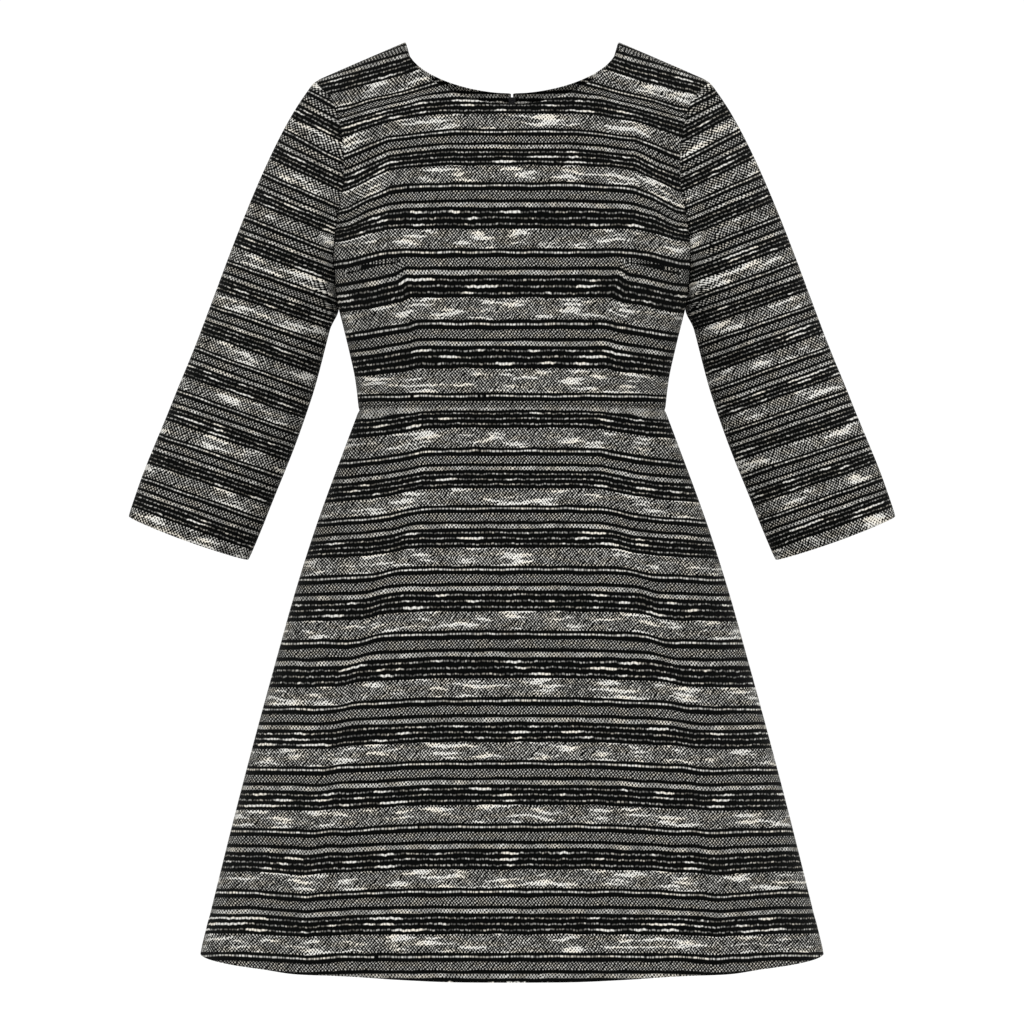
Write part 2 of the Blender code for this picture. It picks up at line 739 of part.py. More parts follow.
def pull_outline():
    """Outline of the pull: a narrow neck that widens to a round end, as (across, down)."""
    neck_end = 0.0055
    belly = PULL_LENGTH - PULL_HALF_WIDTH
    right = [(EYE_HALF_WIDTH * 0.9, 0.0), (EYE_HALF_WIDTH * 0.9, neck_end)]
    for share in (0.35, 0.7, 1.0):
        ease = share * share * (3 - 2 * share)
        width = EYE_HALF_WIDTH * 0.9 + (PULL_HALF_WIDTH - EYE_HALF_WIDTH * 0.9) * ease
        right.append((width, neck_end + (belly - neck_end) * share))
    for step in range(1, 5):
        turn = math.pi / 2 * step / 5
        across = PULL_HALF_WIDTH * math.cos(turn)
        right.append((across, belly + PULL_HALF_WIDTH * math.sin(turn)))
    left = [(-x, down) for x, down in reversed(right)]
    return right + [(0.0, PULL_LENGTH)] + left


def make_pull(frame):
    """Add the pull, which turns on the slider's pin, hanging against the cloth."""
    hinge = frame @ Matrix.Translation((0.0, PIN_OUT, PIN_UP))
    hinge = hinge @ Matrix.Rotation(-PULL_LEAN, 4, "X")
    outline = pull_outline()
    count = len(outline)
    points = []
    for out in (-PULL_HALF_THICK, PULL_HALF_THICK):
        for across, down in outline:
            points.append((across, out, -down))
    faces = [tuple(range(count)), tuple(range(2 * count - 1, count - 1, -1))]
    for i in range(count):
        j = (i + 1) % count
        faces.append((i, i + count, j + count, j))
    pull = add_object("zip_pull", points, faces, METAL)
    pull.matrix_world = hinge
    eye = add_object("guide_eye", *barrel_mesh(EYE_OUTER, EYE_HALF_WIDTH, 0, 0, 14), METAL)
    eye.matrix_world = hinge
    joined(pull, eye, "UNION")
    hole = add_object("guide_hole", *barrel_mesh(EYE_INNER, 0.004, 0, 0, 12), METAL)
    hole.matrix_world = hinge
    joined(pull, hole, "DIFFERENCE")


def make_zip(bodice, skirt):
    """Add the zip of the centre back: tape and coil, slider and pull."""
    points, normals = zip_route(bodice, skirt)
    make_zip_tape(points, normals)
    frame = seam_frame(points, SLIDER_Z)
    make_slider(frame)
    make_pull(frame)


def main():
    """Clear the scene and build the dress."""
    for old in list(bpy.data.objects):
        bpy.data.objects.remove(old, do_unlink=True)
    bodice = make_bodice()
    skirt = make_skirt()
    make_sleeves(bodice)
    make_zip(bodice, skirt)


main()
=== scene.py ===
"""Dressing of the a-line dress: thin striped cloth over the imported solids, its zip, and a studio.

Metres, +Z up. The front faces -Y. The origin lies midway between the two neck points. Left and
right are the wearer's: left is +X.
"""

import logging
import math
from dataclasses import dataclass, field, replace
from enum import Enum
from typing import Optional, Sequence, Union

import bmesh
import bpy
import numpy as np
from mathutils import Matrix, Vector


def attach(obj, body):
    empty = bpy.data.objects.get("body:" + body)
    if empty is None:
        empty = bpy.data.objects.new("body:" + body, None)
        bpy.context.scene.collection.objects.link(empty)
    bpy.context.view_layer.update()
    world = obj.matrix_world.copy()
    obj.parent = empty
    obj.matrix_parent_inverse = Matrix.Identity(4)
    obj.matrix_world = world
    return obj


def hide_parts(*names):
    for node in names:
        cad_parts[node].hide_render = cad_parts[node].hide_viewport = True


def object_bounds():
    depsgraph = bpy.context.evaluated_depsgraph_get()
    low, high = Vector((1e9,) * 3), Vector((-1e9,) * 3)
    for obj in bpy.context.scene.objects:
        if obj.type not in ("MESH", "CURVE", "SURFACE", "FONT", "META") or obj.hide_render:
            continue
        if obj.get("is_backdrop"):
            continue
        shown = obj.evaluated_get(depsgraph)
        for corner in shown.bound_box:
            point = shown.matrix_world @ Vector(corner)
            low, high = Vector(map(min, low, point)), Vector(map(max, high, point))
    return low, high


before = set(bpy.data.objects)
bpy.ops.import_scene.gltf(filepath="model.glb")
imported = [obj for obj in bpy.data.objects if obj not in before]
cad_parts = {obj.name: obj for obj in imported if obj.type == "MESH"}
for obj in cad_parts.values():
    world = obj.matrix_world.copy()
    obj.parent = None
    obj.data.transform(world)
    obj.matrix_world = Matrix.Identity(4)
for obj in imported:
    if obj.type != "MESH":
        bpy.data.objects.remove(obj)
LOG = logging.getLogger("dress")

Array = np.ndarray
Rows = tuple[tuple[float, ...], ...]
MIRROR = np.array((-1.0, 1.0, 1.0))


class Half(Enum):
    """Front or back of the dress, with the way its outside faces along Y."""

    FRONT = -1.0
    BACK = 1.0


class Side(Enum):
    """The wearer's left or right, with its sign along X."""

    LEFT = 1.0
    RIGHT = -1.0


# ---- Curves and the dress's form -------------------------------------------------------------
class Curve:
    """A smooth line through points that never overshoots them."""

    def __init__(self, xs: Sequence[float], ys: Sequence[float]) -> None:
        """Keep the points and work out the slope at each.

        Args:
            xs: Where the points lie, in any order.
            ys: Their values.
        """
        order = np.argsort(xs)
        self.xs = np.asarray(xs, float)[order]
        self.ys = np.asarray(ys, float)[order]
        widths = np.diff(self.xs)
        secants = np.diff(self.ys) / widths
        slopes = np.zeros(len(self.xs))
        slopes[0], slopes[-1] = secants[0], secants[-1]
        for i in range(1, len(self.xs) - 1):
            before, after = secants[i - 1], secants[i]
            if before * after > 0.0:
                first = 2 * widths[i] + widths[i - 1]
                second = widths[i] + 2 * widths[i - 1]
                slopes[i] = (first + second) / (first / before + second / after)
        self.widths, self.slopes = widths, slopes

    @classmethod
    def through(cls, rows: Rows) -> "Curve":
        """Return the line through rows of a place and its value."""
        return cls(*zip(*rows))


    def __call__(self, x: Union[float, Array]) -> Array:
        """Return the line's value at x, held level past its ends.

        Args:
            x: One place or an array of them.

        Returns:
            The values, in the shape of x.
        """
        x = np.clip(np.asarray(x, float), self.xs[0], self.xs[-1])
        i = np.clip(np.searchsorted(self.xs, x, side="right") - 1, 0, len(self.xs) - 2)
        h = self.widths[i]
        t = (x - self.xs[i]) / h
        return (
            self.ys[i] * (1 + 2 * t) * (1 - t) ** 2
            + self.slopes[i] * h * t * (1 - t) ** 2
            + self.ys[i + 1] * t * t * (3 - 2 * t)
            + self.slopes[i + 1] * h * t * t * (t - 1)
        )


def smooth(x: Array, low: float, high: float) -> Array:
    """Return 0 below low, 1 above high and an even S between them."""
    t = np.clip((x - low) / (high - low), 0.0, 1.0)
    return t * t * (3 - 2 * t)


def bell(x: Array, width: float) -> Array:
    """Return 1 where x is 0, falling off evenly to both sides over about the width."""
    return np.exp(-((x / width) ** 2))


def unit(vectors: Array) -> Array:
    """Return vectors of length 1."""
    return vectors / np.linalg.norm(vectors, axis=-1, keepdims=True)


def lengths_along(points: Array) -> Array:
    """Return how far each point of a line lies from its first, along it."""
    steps = np.linalg.norm(np.diff(points, axis=0), axis=-1)
    return summed(np.zeros((1, *steps.shape[1:])), steps)


def summed(first: Array, steps: Array) -> Array:
    """Return the first row, and under it that row's running sum with the steps."""
    return np.concatenate((first, first + np.cumsum(steps, axis=0)))


def tenths(*rows: tuple[int, ...]) -> Rows:
    """Return in metres rows that are given in tenths of a millimetre."""
    return tuple(tuple(value / 10000 for value in row) for row in rows)


@dataclass(frozen=True)
class Flute:
    """One soft flute of the skirt, placed by shares of the half width from the centre line."""

    half: Half
    place: float
    drift: float
    top_z: float
    rise: float
    spread: float


@dataclass(frozen=True)
class DressForm:
    """The worn form that the cloth follows: its sizes and the surfaces they give."""

    neck_half: float = 0.1048
    neck_drop_front: float = 0.070
    neck_drop_back: float = 0.0396
    neck_power: float = 1.8
    shoulder_half: float = 0.190
    shoulder_drop: float = 0.0362
    shoulder_roll: float = 0.085
    roll_power: float = 2.3
    underarm_z: float = -0.2595
    waist_z: float = -0.358
    hem_z: float = -0.887
    bust_apex_x: float = 0.100
    bust_apex_z: float = -0.216
    bust_rise: float = 0.019
    bust_spread_x: float = 0.047
    bust_spread_up: float = 0.062
    bust_spread_down: float = 0.072
    bust_fade: float = 0.05
    flute_power: float = 1.3
    # z, half width, front depth, back depth and roundness of each level section
    bodice_rows: Rows = (
        (0.010, 0.212, 0.058, 0.050, 2.3), (-0.037, 0.205, 0.066, 0.068, 2.3),
        (-0.060, 0.198, 0.076, 0.081, 2.3), (-0.083, 0.192, 0.086, 0.091, 2.3),
        (-0.117, 0.1875, 0.099, 0.102, 2.35), (-0.165, 0.1850, 0.110, 0.107, 2.45),
        (-0.188, 0.1835, 0.113, 0.107, 2.5), (-0.2126, 0.1805, 0.114, 0.105, 2.5),
        (-0.2395, 0.1735, 0.113, 0.102, 2.5), (-0.2595, 0.1687, 0.110, 0.099, 2.45),
        (-0.2993, 0.1589, 0.101, 0.092, 2.35), (-0.3290, 0.1526, 0.095, 0.088, 2.3),
        (-0.3580, 0.1492, 0.092, 0.087, 2.25),
    )
    skirt_rows: Rows = (
        (-0.358, 0.1492, 0.092, 0.087, 2.25), (-0.397, 0.1638, 0.104, 0.106, 2.25),
        (-0.436, 0.1784, 0.114, 0.122, 2.2), (-0.475, 0.1922, 0.123, 0.134, 2.2),
        (-0.533, 0.2106, 0.134, 0.146, 2.15), (-0.592, 0.2272, 0.144, 0.154, 2.1),
        (-0.670, 0.2486, 0.157, 0.166, 2.0), (-0.748, 0.2691, 0.170, 0.178, 1.9),
        (-0.887, 0.3037, 0.193, 0.200, 1.76),
    )
    # z, front x and back x of the armhole seam
    armhole_rows: Rows = (
        (0.010, 0.1900, 0.1900), (-0.037, 0.1900, 0.1900), (-0.0605, 0.1730, 0.1755),
        (-0.083, 0.1662, 0.1705), (-0.117, 0.1612, 0.1672), (-0.143, 0.1612, 0.1668),
        (-0.165, 0.1655, 0.1682), (-0.188, 0.1692, 0.1705), (-0.2126, 0.1716, 0.1722),
        (-0.2395, 0.1705, 0.1706), (-0.2595, 0.1687, 0.1687),
    )
    flutes: tuple[Flute, ...] = (
        Flute(Half.FRONT, 0.48, 0.06, -0.46, -0.0050, 0.080),
        Flute(Half.FRONT, 0.66, 0.10, -0.47, 0.0075, 0.075),
        Flute(Half.FRONT, 0.84, 0.04, -0.60, -0.0030, 0.060),
        Flute(Half.FRONT, 0.20, 0.04, -0.56, 0.0030, 0.100),
        Flute(Half.BACK, 0.32, 0.05, -0.55, 0.0070, 0.080),
        Flute(Half.BACK, 0.50, 0.08, -0.50, -0.0065, 0.070),
        Flute(Half.BACK, 0.68, 0.10, -0.47, 0.0095, 0.075),
        Flute(Half.BACK, 0.86, 0.03, -0.62, -0.0045, 0.055),
    )
    bodice: dict[object, Curve] = field(init=False)
    skirt: dict[object, Curve] = field(init=False)
    armhole: dict[object, Curve] = field(init=False)

    def __post_init__(self) -> None:
        """Turn the tables into smooth curves of the height."""
        section = ("width", Half.FRONT, Half.BACK, "round")
        for name, rows, columns in (
            ("bodice", self.bodice_rows, section),
            ("skirt", self.skirt_rows, section),
            ("armhole", self.armhole_rows, (Half.FRONT, Half.BACK)),
        ):
            z, *values = zip(*rows)
            curves = {column: Curve(z, value) for column, value in zip(columns, values)}
            object.__setattr__(self, name, curves)

    def shoulder_line(self, x: Array) -> Array:
        """Return the height of the shoulder seam at x, run on towards the neck."""
        slope = self.shoulder_drop / (self.shoulder_half - self.neck_half)
        return -slope * (np.abs(x) - self.neck_half)

    def neck_drop(self, half: Half) -> float:
        """Return how far the neckline drops below the neck points."""
        return self.neck_drop_front if half is Half.FRONT else self.neck_drop_back

    def top_edge(self, half: Half, x: Array) -> Array:
        """Return the height of the neckline, or past the neck point of the shoulder seam."""
        share = np.clip(np.abs(x) / self.neck_half, 0.0, 1.0)
        dip = (1 - share**self.neck_power) ** (1 / self.neck_power)
        past = np.abs(x) >= self.neck_half
        return np.where(past, self.shoulder_line(x), -self.neck_drop(half) * dip)

    def side_width(self, half: Half, z: Array) -> Array:
        """Return the distance of the side seam, or above the underarm of the armhole."""
        low = z <= self.underarm_z
        return np.where(low, self.bodice["width"](z), self.armhole[half](z))

    def top_height(self, half: Half, share: Array, start: float) -> Array:
        """Find where columns of the bodice meet the neckline or the shoulder seam.

        Args:
            half: Front or back.
            share: Each column's share of the way from the centre edge to the side.
            start: The centre edge's distance from the centre line.

        Returns:
            The height for each column.
        """
        low = np.full_like(share, self.underarm_z)
        high = np.full_like(share, 0.005)
        for _ in range(60):
            z = (low + high) / 2
            x = start + (self.armhole[half](z) - start) * share
            inside = self.top_edge(half, x) > z
            low, high = np.where(inside, z, low), np.where(inside, high, z)
        return (low + high) / 2

    def bust(self, x: Array, z: Array) -> Array:
        """Return how far the darted cups stand out of the rib section."""
        spread = np.where(z > self.bust_apex_z, self.bust_spread_up, self.bust_spread_down)
        across = ((np.abs(x) - self.bust_apex_x) / self.bust_spread_x) ** 2
        upright = ((z - self.bust_apex_z) / spread) ** 2
        to_waist = np.minimum(1.0, (z - self.waist_z) / self.bust_fade)
        return self.bust_rise * np.exp(-across - upright) * to_waist

    def bodice_point(self, half: Half, x: Array, z: Array) -> Array:
        """Return points of the bodice's outer surface over x and z."""
        share = np.minimum(np.abs(x) / self.bodice["width"](z), 1.0)
        power = self.bodice["round"](z)
        depth = self.bodice[half](z) * (1 - share**power) ** (1 / power)
        if half is Half.FRONT:
            depth = depth + self.bust(x, z) * (1 - share**6)
        below = np.clip((self.shoulder_line(x) - z) / self.shoulder_roll, 0.0, 1.0)
        depth = depth * (1 - (1 - below) ** self.roll_power) ** (1 / self.roll_power)
        return np.stack((x, half.value * depth, z), axis=-1)

    def flute_rise(self, half: Half, share: Array, z: Array) -> Array:
        """Return how far the skirt's flutes push the cloth out."""
        total = np.zeros_like(share)
        for flute in self.flutes:
            if flute.half is not half:
                continue
            down = np.clip((flute.top_z - z) / (flute.top_z - self.hem_z), 0.0, 1.0)
            centre = flute.place - flute.drift * (1 - down)
            shape = bell(share - centre, flute.spread)
            total = total + flute.rise * down**self.flute_power * shape
        return total * (1 - share**8)

    def skirt_point(self, half: Half, x: Array, z: Array) -> Array:
        """Return points of the skirt's outer surface, flutes and all, over x and z."""
        width, power = self.skirt["width"](z), self.skirt["round"](z)
        full = self.skirt[half](z)
        share = np.minimum(np.abs(x) / width, 1.0)
        depth = full * (1 - share**power) ** (1 / power)
        lean_x = share ** (power - 1) / width
        lean_y = (depth / full) ** (power - 1) / full
        length = np.hypot(lean_x, lean_y)
        rise = self.flute_rise(half, share, z)
        x = x + np.copysign(rise * lean_x / length, x)
        depth = depth + rise * lean_y / length
        return np.stack((x, half.value * depth, z), axis=-1)


@dataclass(frozen=True)
class ArmForm:
    """The sleeve's form: sections square to the arm, from the upper arm to the cuff."""

    biceps_x: float = 0.2322
    biceps_z: float = -0.2584
    cuff_x: float = 0.3140
    cuff_z: float = -0.4821
    cuff_bow: float = 0.0012
    cap_slack: float = 0.35
    # how far out and down the sleeve heads where it leaves the armhole: at the underarm, what
    # the shoulder adds, and what the front and the back add
    leave_out: tuple[float, float, float] = (0.36, 0.34, 0.36)
    leave_down: tuple[float, float, float] = (0.94, -0.22, -0.36)
    # share of the way down the arm, half width, half depth, shift to the body, shift forward
    rows: Rows = (
        (0.00, 0.0585, 0.0530, 0.0000, 0.000),
        (0.30, 0.0621, 0.0530, 0.0027, 0.001),
        (0.50, 0.0633, 0.0525, 0.0024, 0.004),
        (0.80, 0.0635, 0.0505, 0.0004, 0.009),
        (1.00, 0.0622, 0.0490, 0.0000, 0.012),
    )

    @property
    def length(self) -> float:
        """Return the length of the arm's axis."""
        return math.hypot(self.cuff_x - self.biceps_x, self.cuff_z - self.biceps_z)

    @property
    def axis(self) -> Array:
        """Return the unit vector down the arm."""
        step = (self.cuff_x - self.biceps_x, 0.0, self.cuff_z - self.biceps_z)
        return np.array(step) / self.length

    @property
    def outward(self) -> Array:
        """Return the unit vector square to the arm, away from the body."""
        return np.array((-self.axis[2], 0.0, self.axis[0]))

    def ring(self, along: float, turns: Array) -> Array:
        """Return a ring of the sleeve; turn 0 is the inner side, half a turn the outer.

        Args:
            along: Share of the way down the arm.
            turns: Angles round the arm.

        Returns:
            One point for each angle.
        """
        shares, *columns = zip(*self.rows)
        width, depth, toward, forward = (float(Curve(shares, c)(along)) for c in columns)
        centre = np.array((self.biceps_x, 0.0, self.biceps_z)) + self.axis * self.length * along
        centre = centre - self.outward * toward - np.array((0.0, forward, 0.0))
        sine, cosine = np.sin(turns)[:, None], np.cos(turns)[:, None]
        points = centre - self.outward * width * cosine
        points = points - np.array((0.0, depth, 0.0)) * sine
        return points + self.axis * self.cuff_bow * along * sine**2

    def leaving(self, turns: Array) -> Array:
        """Return the directions in which the sleeve leaves the armhole."""
        over = (1 - np.cos(turns)) / 2
        around = np.sin(turns) ** 2
        out, down = (a + b * over + c * around for a, b, c in (self.leave_out, self.leave_down))
        return unit(np.stack((out, np.zeros_like(out), -down), axis=-1))


# ---- Stripes ---------------------------------------------------------------------------------
@dataclass(frozen=True)
class StripeLayout:
    """Where the cloth's woven stripes lie on the dress, as seen square on from the front.

    A repeat is counted from the top of one wide flecked band to the top of the next.
    """

    eye_distance: float = 3.1
    eye_z: float = -0.457
    # seen height down the centre of the front, and the repeats counted there
    bodice_marks: Rows = (
        (0.0774, -0.855), (0.0265, 0.145), (-0.0244, 1.145), (-0.0761, 2.145), (-0.1268, 3.145),
        (-0.1905, 4.145), (-0.2584, 5.145), (-0.2738, 5.347), (-0.2996, 5.75), (-0.3169, 6.0),
        (-0.3404, 6.285), (-0.344, 6.347), (-0.3528, 6.492), (-0.3576, 6.57),
    )
    skirt_marks: Rows = (
        (-0.3571, 6.66), (-0.3609, 6.75), (-0.3709, 6.934), (-0.375, 7.0), (-0.3938, 7.285),
        (-0.4419, 8.145), (-0.5008, 9.145), (-0.5629, 10.145), (-0.6285, 11.145),
        (-0.6902, 12.145), (-0.7515, 13.145), (-0.8146, 14.145), (-0.8779, 15.145),
        (-0.9409, 16.145),
    )
    # distances where the drops are given; past the last one of a row a stripe runs on level
    drop_x: tuple[float, ...] = (0.06, 0.088, 0.104, 0.12, 0.14, 0.16, 0.20, 0.26)
    # height at the centre, then how far a stripe has dropped at drop_x[1], drop_x[2] and so on
    bodice_drops: Rows = tenths(
        (300, 60, 130, 180, 230, 285, 380), (-170, 75, 130, 180, 232, 285, 380),
        (-350, 82, 130, 170, 215, 280, 360), (-420, 62, 112, 148, 196, 265, 350),
        (-530, 26, 66, 104, 158, 220, 330), (-686, 26, 52, 80, 142, 212, 310),
        (-760, 30, 52, 70, 140, 220, 300), (-1040, 22, 40, 62, 157, 242, 330),
        (-1270, 16, 28, 48, 138, 248, 340), (-1550, 10, 14, 30, 96, 195, 280),
        (-1900, 3, -4, 2, 42, 98, 160), (-2240, 0, -6, 18, 64, 105, 160),
        (-2580, 0, 2, 30, 76, 105, 140), (-2740, -4, 3, 30, 68, 98, 130),
        (-2930, -2, 10, 36, 70, 98, 120), (-3170, 0, 18, 36, 58, 76, 100),
        (-3410, 0, 4, 10, 14, 18, 20), (-3600, 0, 0, 3, 5, 10, 10),
    )
    skirt_drops: Rows = tenths(
        (-3600, 8, 36, 62, 82, 98, 115, 115), (-3760, 10, 41, 66, 88, 110, 130, 130),
        (-3950, 10, 45, 75, 95, 118, 140, 140), (-4430, 12, 42, 79, 103, 123, 155, 185),
        (-5020, 7, 17, 37, 68, 80, 105, 120), (-5630, 6, 14, 28, 62, 83, 96, 100),
        (-6285, 6, 13, 25, 33, 60, 85, 85), (-6900, 3, 10, 22, 34, 45, 62, 58),
        (-7515, 2, 10, 20, 33, 50, 48, 45), (-8146, 1, 5, 10, 14, 31, 50, 15),
        (-8779, 0, 0, 0, 0, 0, 22, -10),
    )
    # a side dart runs level towards the bust and an upright dart from it down to the waist
    side_dart: Rows = ((0.100, -0.2100), (0.1121, -0.2110), (0.1449, -0.2176), (0.1719, -0.2274))
    upright_dart: Rows = ((-0.224, 0.1035), (-0.274, 0.0920), (-0.317, 0.0915), (-0.3585, 0.0890))
    dart_step: Rows = (
        (-0.226, 0.0056), (-0.245, 0.0044), (-0.274, 0.0030), (-0.317, 0.0015), (-0.341, 0.0),
    )
    # how far below the side dart and past the upright one the slip begins and is full
    dart_line: tuple[float, float] = (0.0, 0.0008)
    dart_side: tuple[float, float] = (-0.001, 0.013)
    # seen height and distance of the soft step that the stripes make along the skirt's fold
    fold: Rows = (
        (-0.400, 0.0887), (-0.456, 0.1024), (-0.509, 0.1170), (-0.533, 0.1336), (-0.583, 0.1404),
        (-0.615, 0.1580), (-0.660, 0.1650), (-0.787, 0.1870), (-0.894, 0.2000),
    )
    # depths below the neck where the step begins and ends, and its half width and reach
    fold_begins: tuple[float, float] = (0.43, 0.50)
    fold_ends: tuple[float, float] = (0.78, 0.88)
    fold_half: float = 0.011
    fold_reach: float = 0.034
    fold_step: float = 0.0012
    # least rise of the weave for each step up the cloth, where that rolls over the shoulder, and
    # how far below the shoulder line that begins and is full
    least_rise: float = 0.55
    roll_reach: tuple[float, float] = (0.010, 0.024)
    # how many repeats further on the back is at the neck, and the heights where that begins
    back_lead: float = 0.35
    back_lead_z: tuple[float, float] = (-0.27, -0.08)
    sleeve_repeat: float = 0.04533
    sleeve_band: float = 0.0049
    sleeve_lead: float = 0.145
    # distance down the arm from the upper arm, the stripes' slope there and how far they lag
    sleeve_rows: Rows = (
        (-0.16, 0.13, 0.008), (-0.12, 0.067, 0.0062), (-0.095, 0.04, 0.005),
        (-0.069, 0.018, 0.0044), (-0.03, 0.0, 0.0041), (0.01, -0.02, 0.0037), (0.05, 0.0, 0.0036),
        (0.1, -0.01, 0.0027), (0.126, -0.02, 0.0025), (0.155, -0.024, 0.0036),
        (0.2, -0.01, 0.0036), (0.235, 0.0, 0.0046),
    )

    def seen(self, points: Array, half: Half) -> tuple[Array, Array]:
        """Return the distance from the centre line and the height at which points are seen.

        Args:
            points: Points of the cloth.
            half: Front or back, which is laid out as the front is.

        Returns:
            Seen distance and seen height, in the plane of the side seams.
        """
        nearer = self.eye_distance / (self.eye_distance - half.value * points[..., 1])
        height = self.eye_z + (points[..., 2] - self.eye_z) * nearer
        return np.abs(points[..., 0]) * nearer, height

    def rolled(self, points: Array, heights: Array, below: Array) -> Array:
        """Return seen heights that keep rising where the cloth rolls out of sight on top.

        Args:
            points: Points of the bodice, rows from the waist up.
            heights: Their seen heights.
            below: How far they lie below the shoulder line.

        Returns:
            The heights at which they are laid out.
        """
        full = 1 - smooth(below[1:], *self.roll_reach)
        least = np.linalg.norm(np.diff(points, axis=0), axis=-1) * self.least_rise * full
        seen = np.diff(heights, axis=0)
        return summed(heights[:1], np.where(full > 0.0, np.maximum(seen, least), seen))

    def level(self, rows: Rows, x: Array, z: Array) -> Array:
        """Return the height at the centre of the stripe that passes each point.

        Args:
            rows: The table of drops.
            x: Seen distances.
            z: Seen heights.

        Returns:
            The heights at the centre.
        """
        heights, *columns = zip(*rows)
        curves = [Curve(heights, column) for column in columns]
        found = z
        for _ in range(3):
            dropped = before = 0.0
            for low, high, curve in zip(self.drop_x, self.drop_x[1:], curves):
                value = curve(found)
                share = np.clip((x - low) / (high - low), 0.0, 1.0)
                dropped, before = dropped + (value - before) * share, value
            found = z + dropped
        return found

    def dart_shift(self, x: Array, z: Array) -> Array:
        """Return how far the weave has slipped below the side dart, outside the upright one."""
        below = smooth(Curve.through(self.side_dart)(x) - z, *self.dart_line)
        outside = smooth(x - Curve.through(self.upright_dart)(z), *self.dart_side)
        return Curve.through(self.dart_step)(z) * below * outside

    def fold_shift(self, x: Array, z: Array) -> Array:
        """Return the step of the stripes along the skirt's fold."""
        away = x - Curve.through(self.fold)(z)
        step = 2 * smooth(away, -self.fold_half, self.fold_half) - 1
        fade = smooth(-z, *self.fold_begins) * (1 - smooth(-z, *self.fold_ends))
        return self.fold_step * step * fade * bell(away, self.fold_reach)

    def on_bodice(self, points: Array, half: Half, form: DressForm) -> "WeavePlaces":
        """Lay the weave over points of the bodice.

        Args:
            points: Points of the cloth's plain form, rows from the waist up.
            half: Front or back.
            form: The dress's form.

        Returns:
            The places of the points in the weave.
        """
        x, z = self.seen(points, half)
        below = form.shoulder_line(points[..., 0]) - points[..., 2]
        slipped = self.rolled(points, z, below)
        slipped = slipped + (self.dart_shift(x, z) if half is Half.FRONT else 0.0)
        level = self.level(self.bodice_drops, x, slipped)
        repeats = Curve.through(self.bodice_marks)(level)
        if half is Half.BACK:
            repeats = repeats + self.back_lead * smooth(level, *self.back_lead_z)
        return WeavePlaces(repeats, -level, x)

    def on_skirt(self, points: Array, half: Half) -> "WeavePlaces":
        """Lay the weave over points of the skirt's plain form."""
        x, z = self.seen(points, half)
        level = self.level(self.skirt_drops, x, z + self.fold_shift(x, z))
        return WeavePlaces(Curve.through(self.skirt_marks)(level), -level, x)

    def on_sleeve(self, points: Array, arm: ArmForm) -> "WeavePlaces":
        """Lay the weave over points of the left sleeve's plain form."""
        x, z = self.seen(points, Half.FRONT)
        from_arm = np.stack((x - arm.biceps_x, np.zeros_like(x), z - arm.biceps_z), axis=-1)
        along = from_arm @ arm.axis
        toward = -(from_arm @ arm.outward)
        places, slopes, lags = zip(*self.sleeve_rows)
        along = along - Curve(places, slopes)(along) * toward - Curve(places, lags)(along)
        repeats = (along - self.sleeve_band) / self.sleeve_repeat + self.sleeve_lead
        return WeavePlaces(repeats, along, toward)



@dataclass(frozen=True)
class WeavePlaces:
    """Where points of the cloth lie in its weave.

    Repeats counts stripe repeats down the cloth and is whole at the top of a wide flecked band.
    Down is the distance down the cloth, and across is how far out a point is seen.
    """

    repeats: Array
    down: Array
    across: Array


# ---- Cloth meshes ----------------------------------------------------------------------------
@dataclass(frozen=True)
class Crease:
    """A soft trough or ridge drawn over one face of the cloth, or a pressed dart seam."""

    start: tuple[float, float]
    end: tuple[float, float]
    rise: float
    width: float
    bend: float = 0.0
    seam: bool = False

    def push(self, x: Array, z: Array) -> Array:
        """Return how far the crease lifts the cloth.

        Args:
            x: Distances across the face.
            z: Heights on it.

        Returns:
            The lift at each, negative in a trough.
        """
        start, end = np.array(self.start), np.array(self.end)
        run = end - start
        length = float(np.hypot(*run))
        run = run / length
        along = ((x - start[0]) * run[0] + (z - start[1]) * run[1]) / length
        bow = self.bend * 4 * np.clip(along, 0, 1) * (1 - np.clip(along, 0, 1))
        across = (x - start[0]) * run[1] - (z - start[1]) * run[0] - bow
        # where it begins and ends, as shares of its length
        begins, ends = ((-0.02, 0.0), (0.80, 1.02)) if self.seam else ((-0.12, 0.30), (0.62, 1.15))
        fade = smooth(along, *begins) * (1 - smooth(along, *ends))
        return self.rise * fade * bell(across, self.width)


def creases(*rows: tuple[int, ...], seam: bool = False) -> tuple[Crease, ...]:
    """Return creases from rows of two ends, rise, width and bend, in tenths of a millimetre."""
    return tuple(
        Crease((x0, z0), (x1, z1), *rest, seam=seam) for x0, z0, x1, z1, *rest in tenths(*rows)
    )



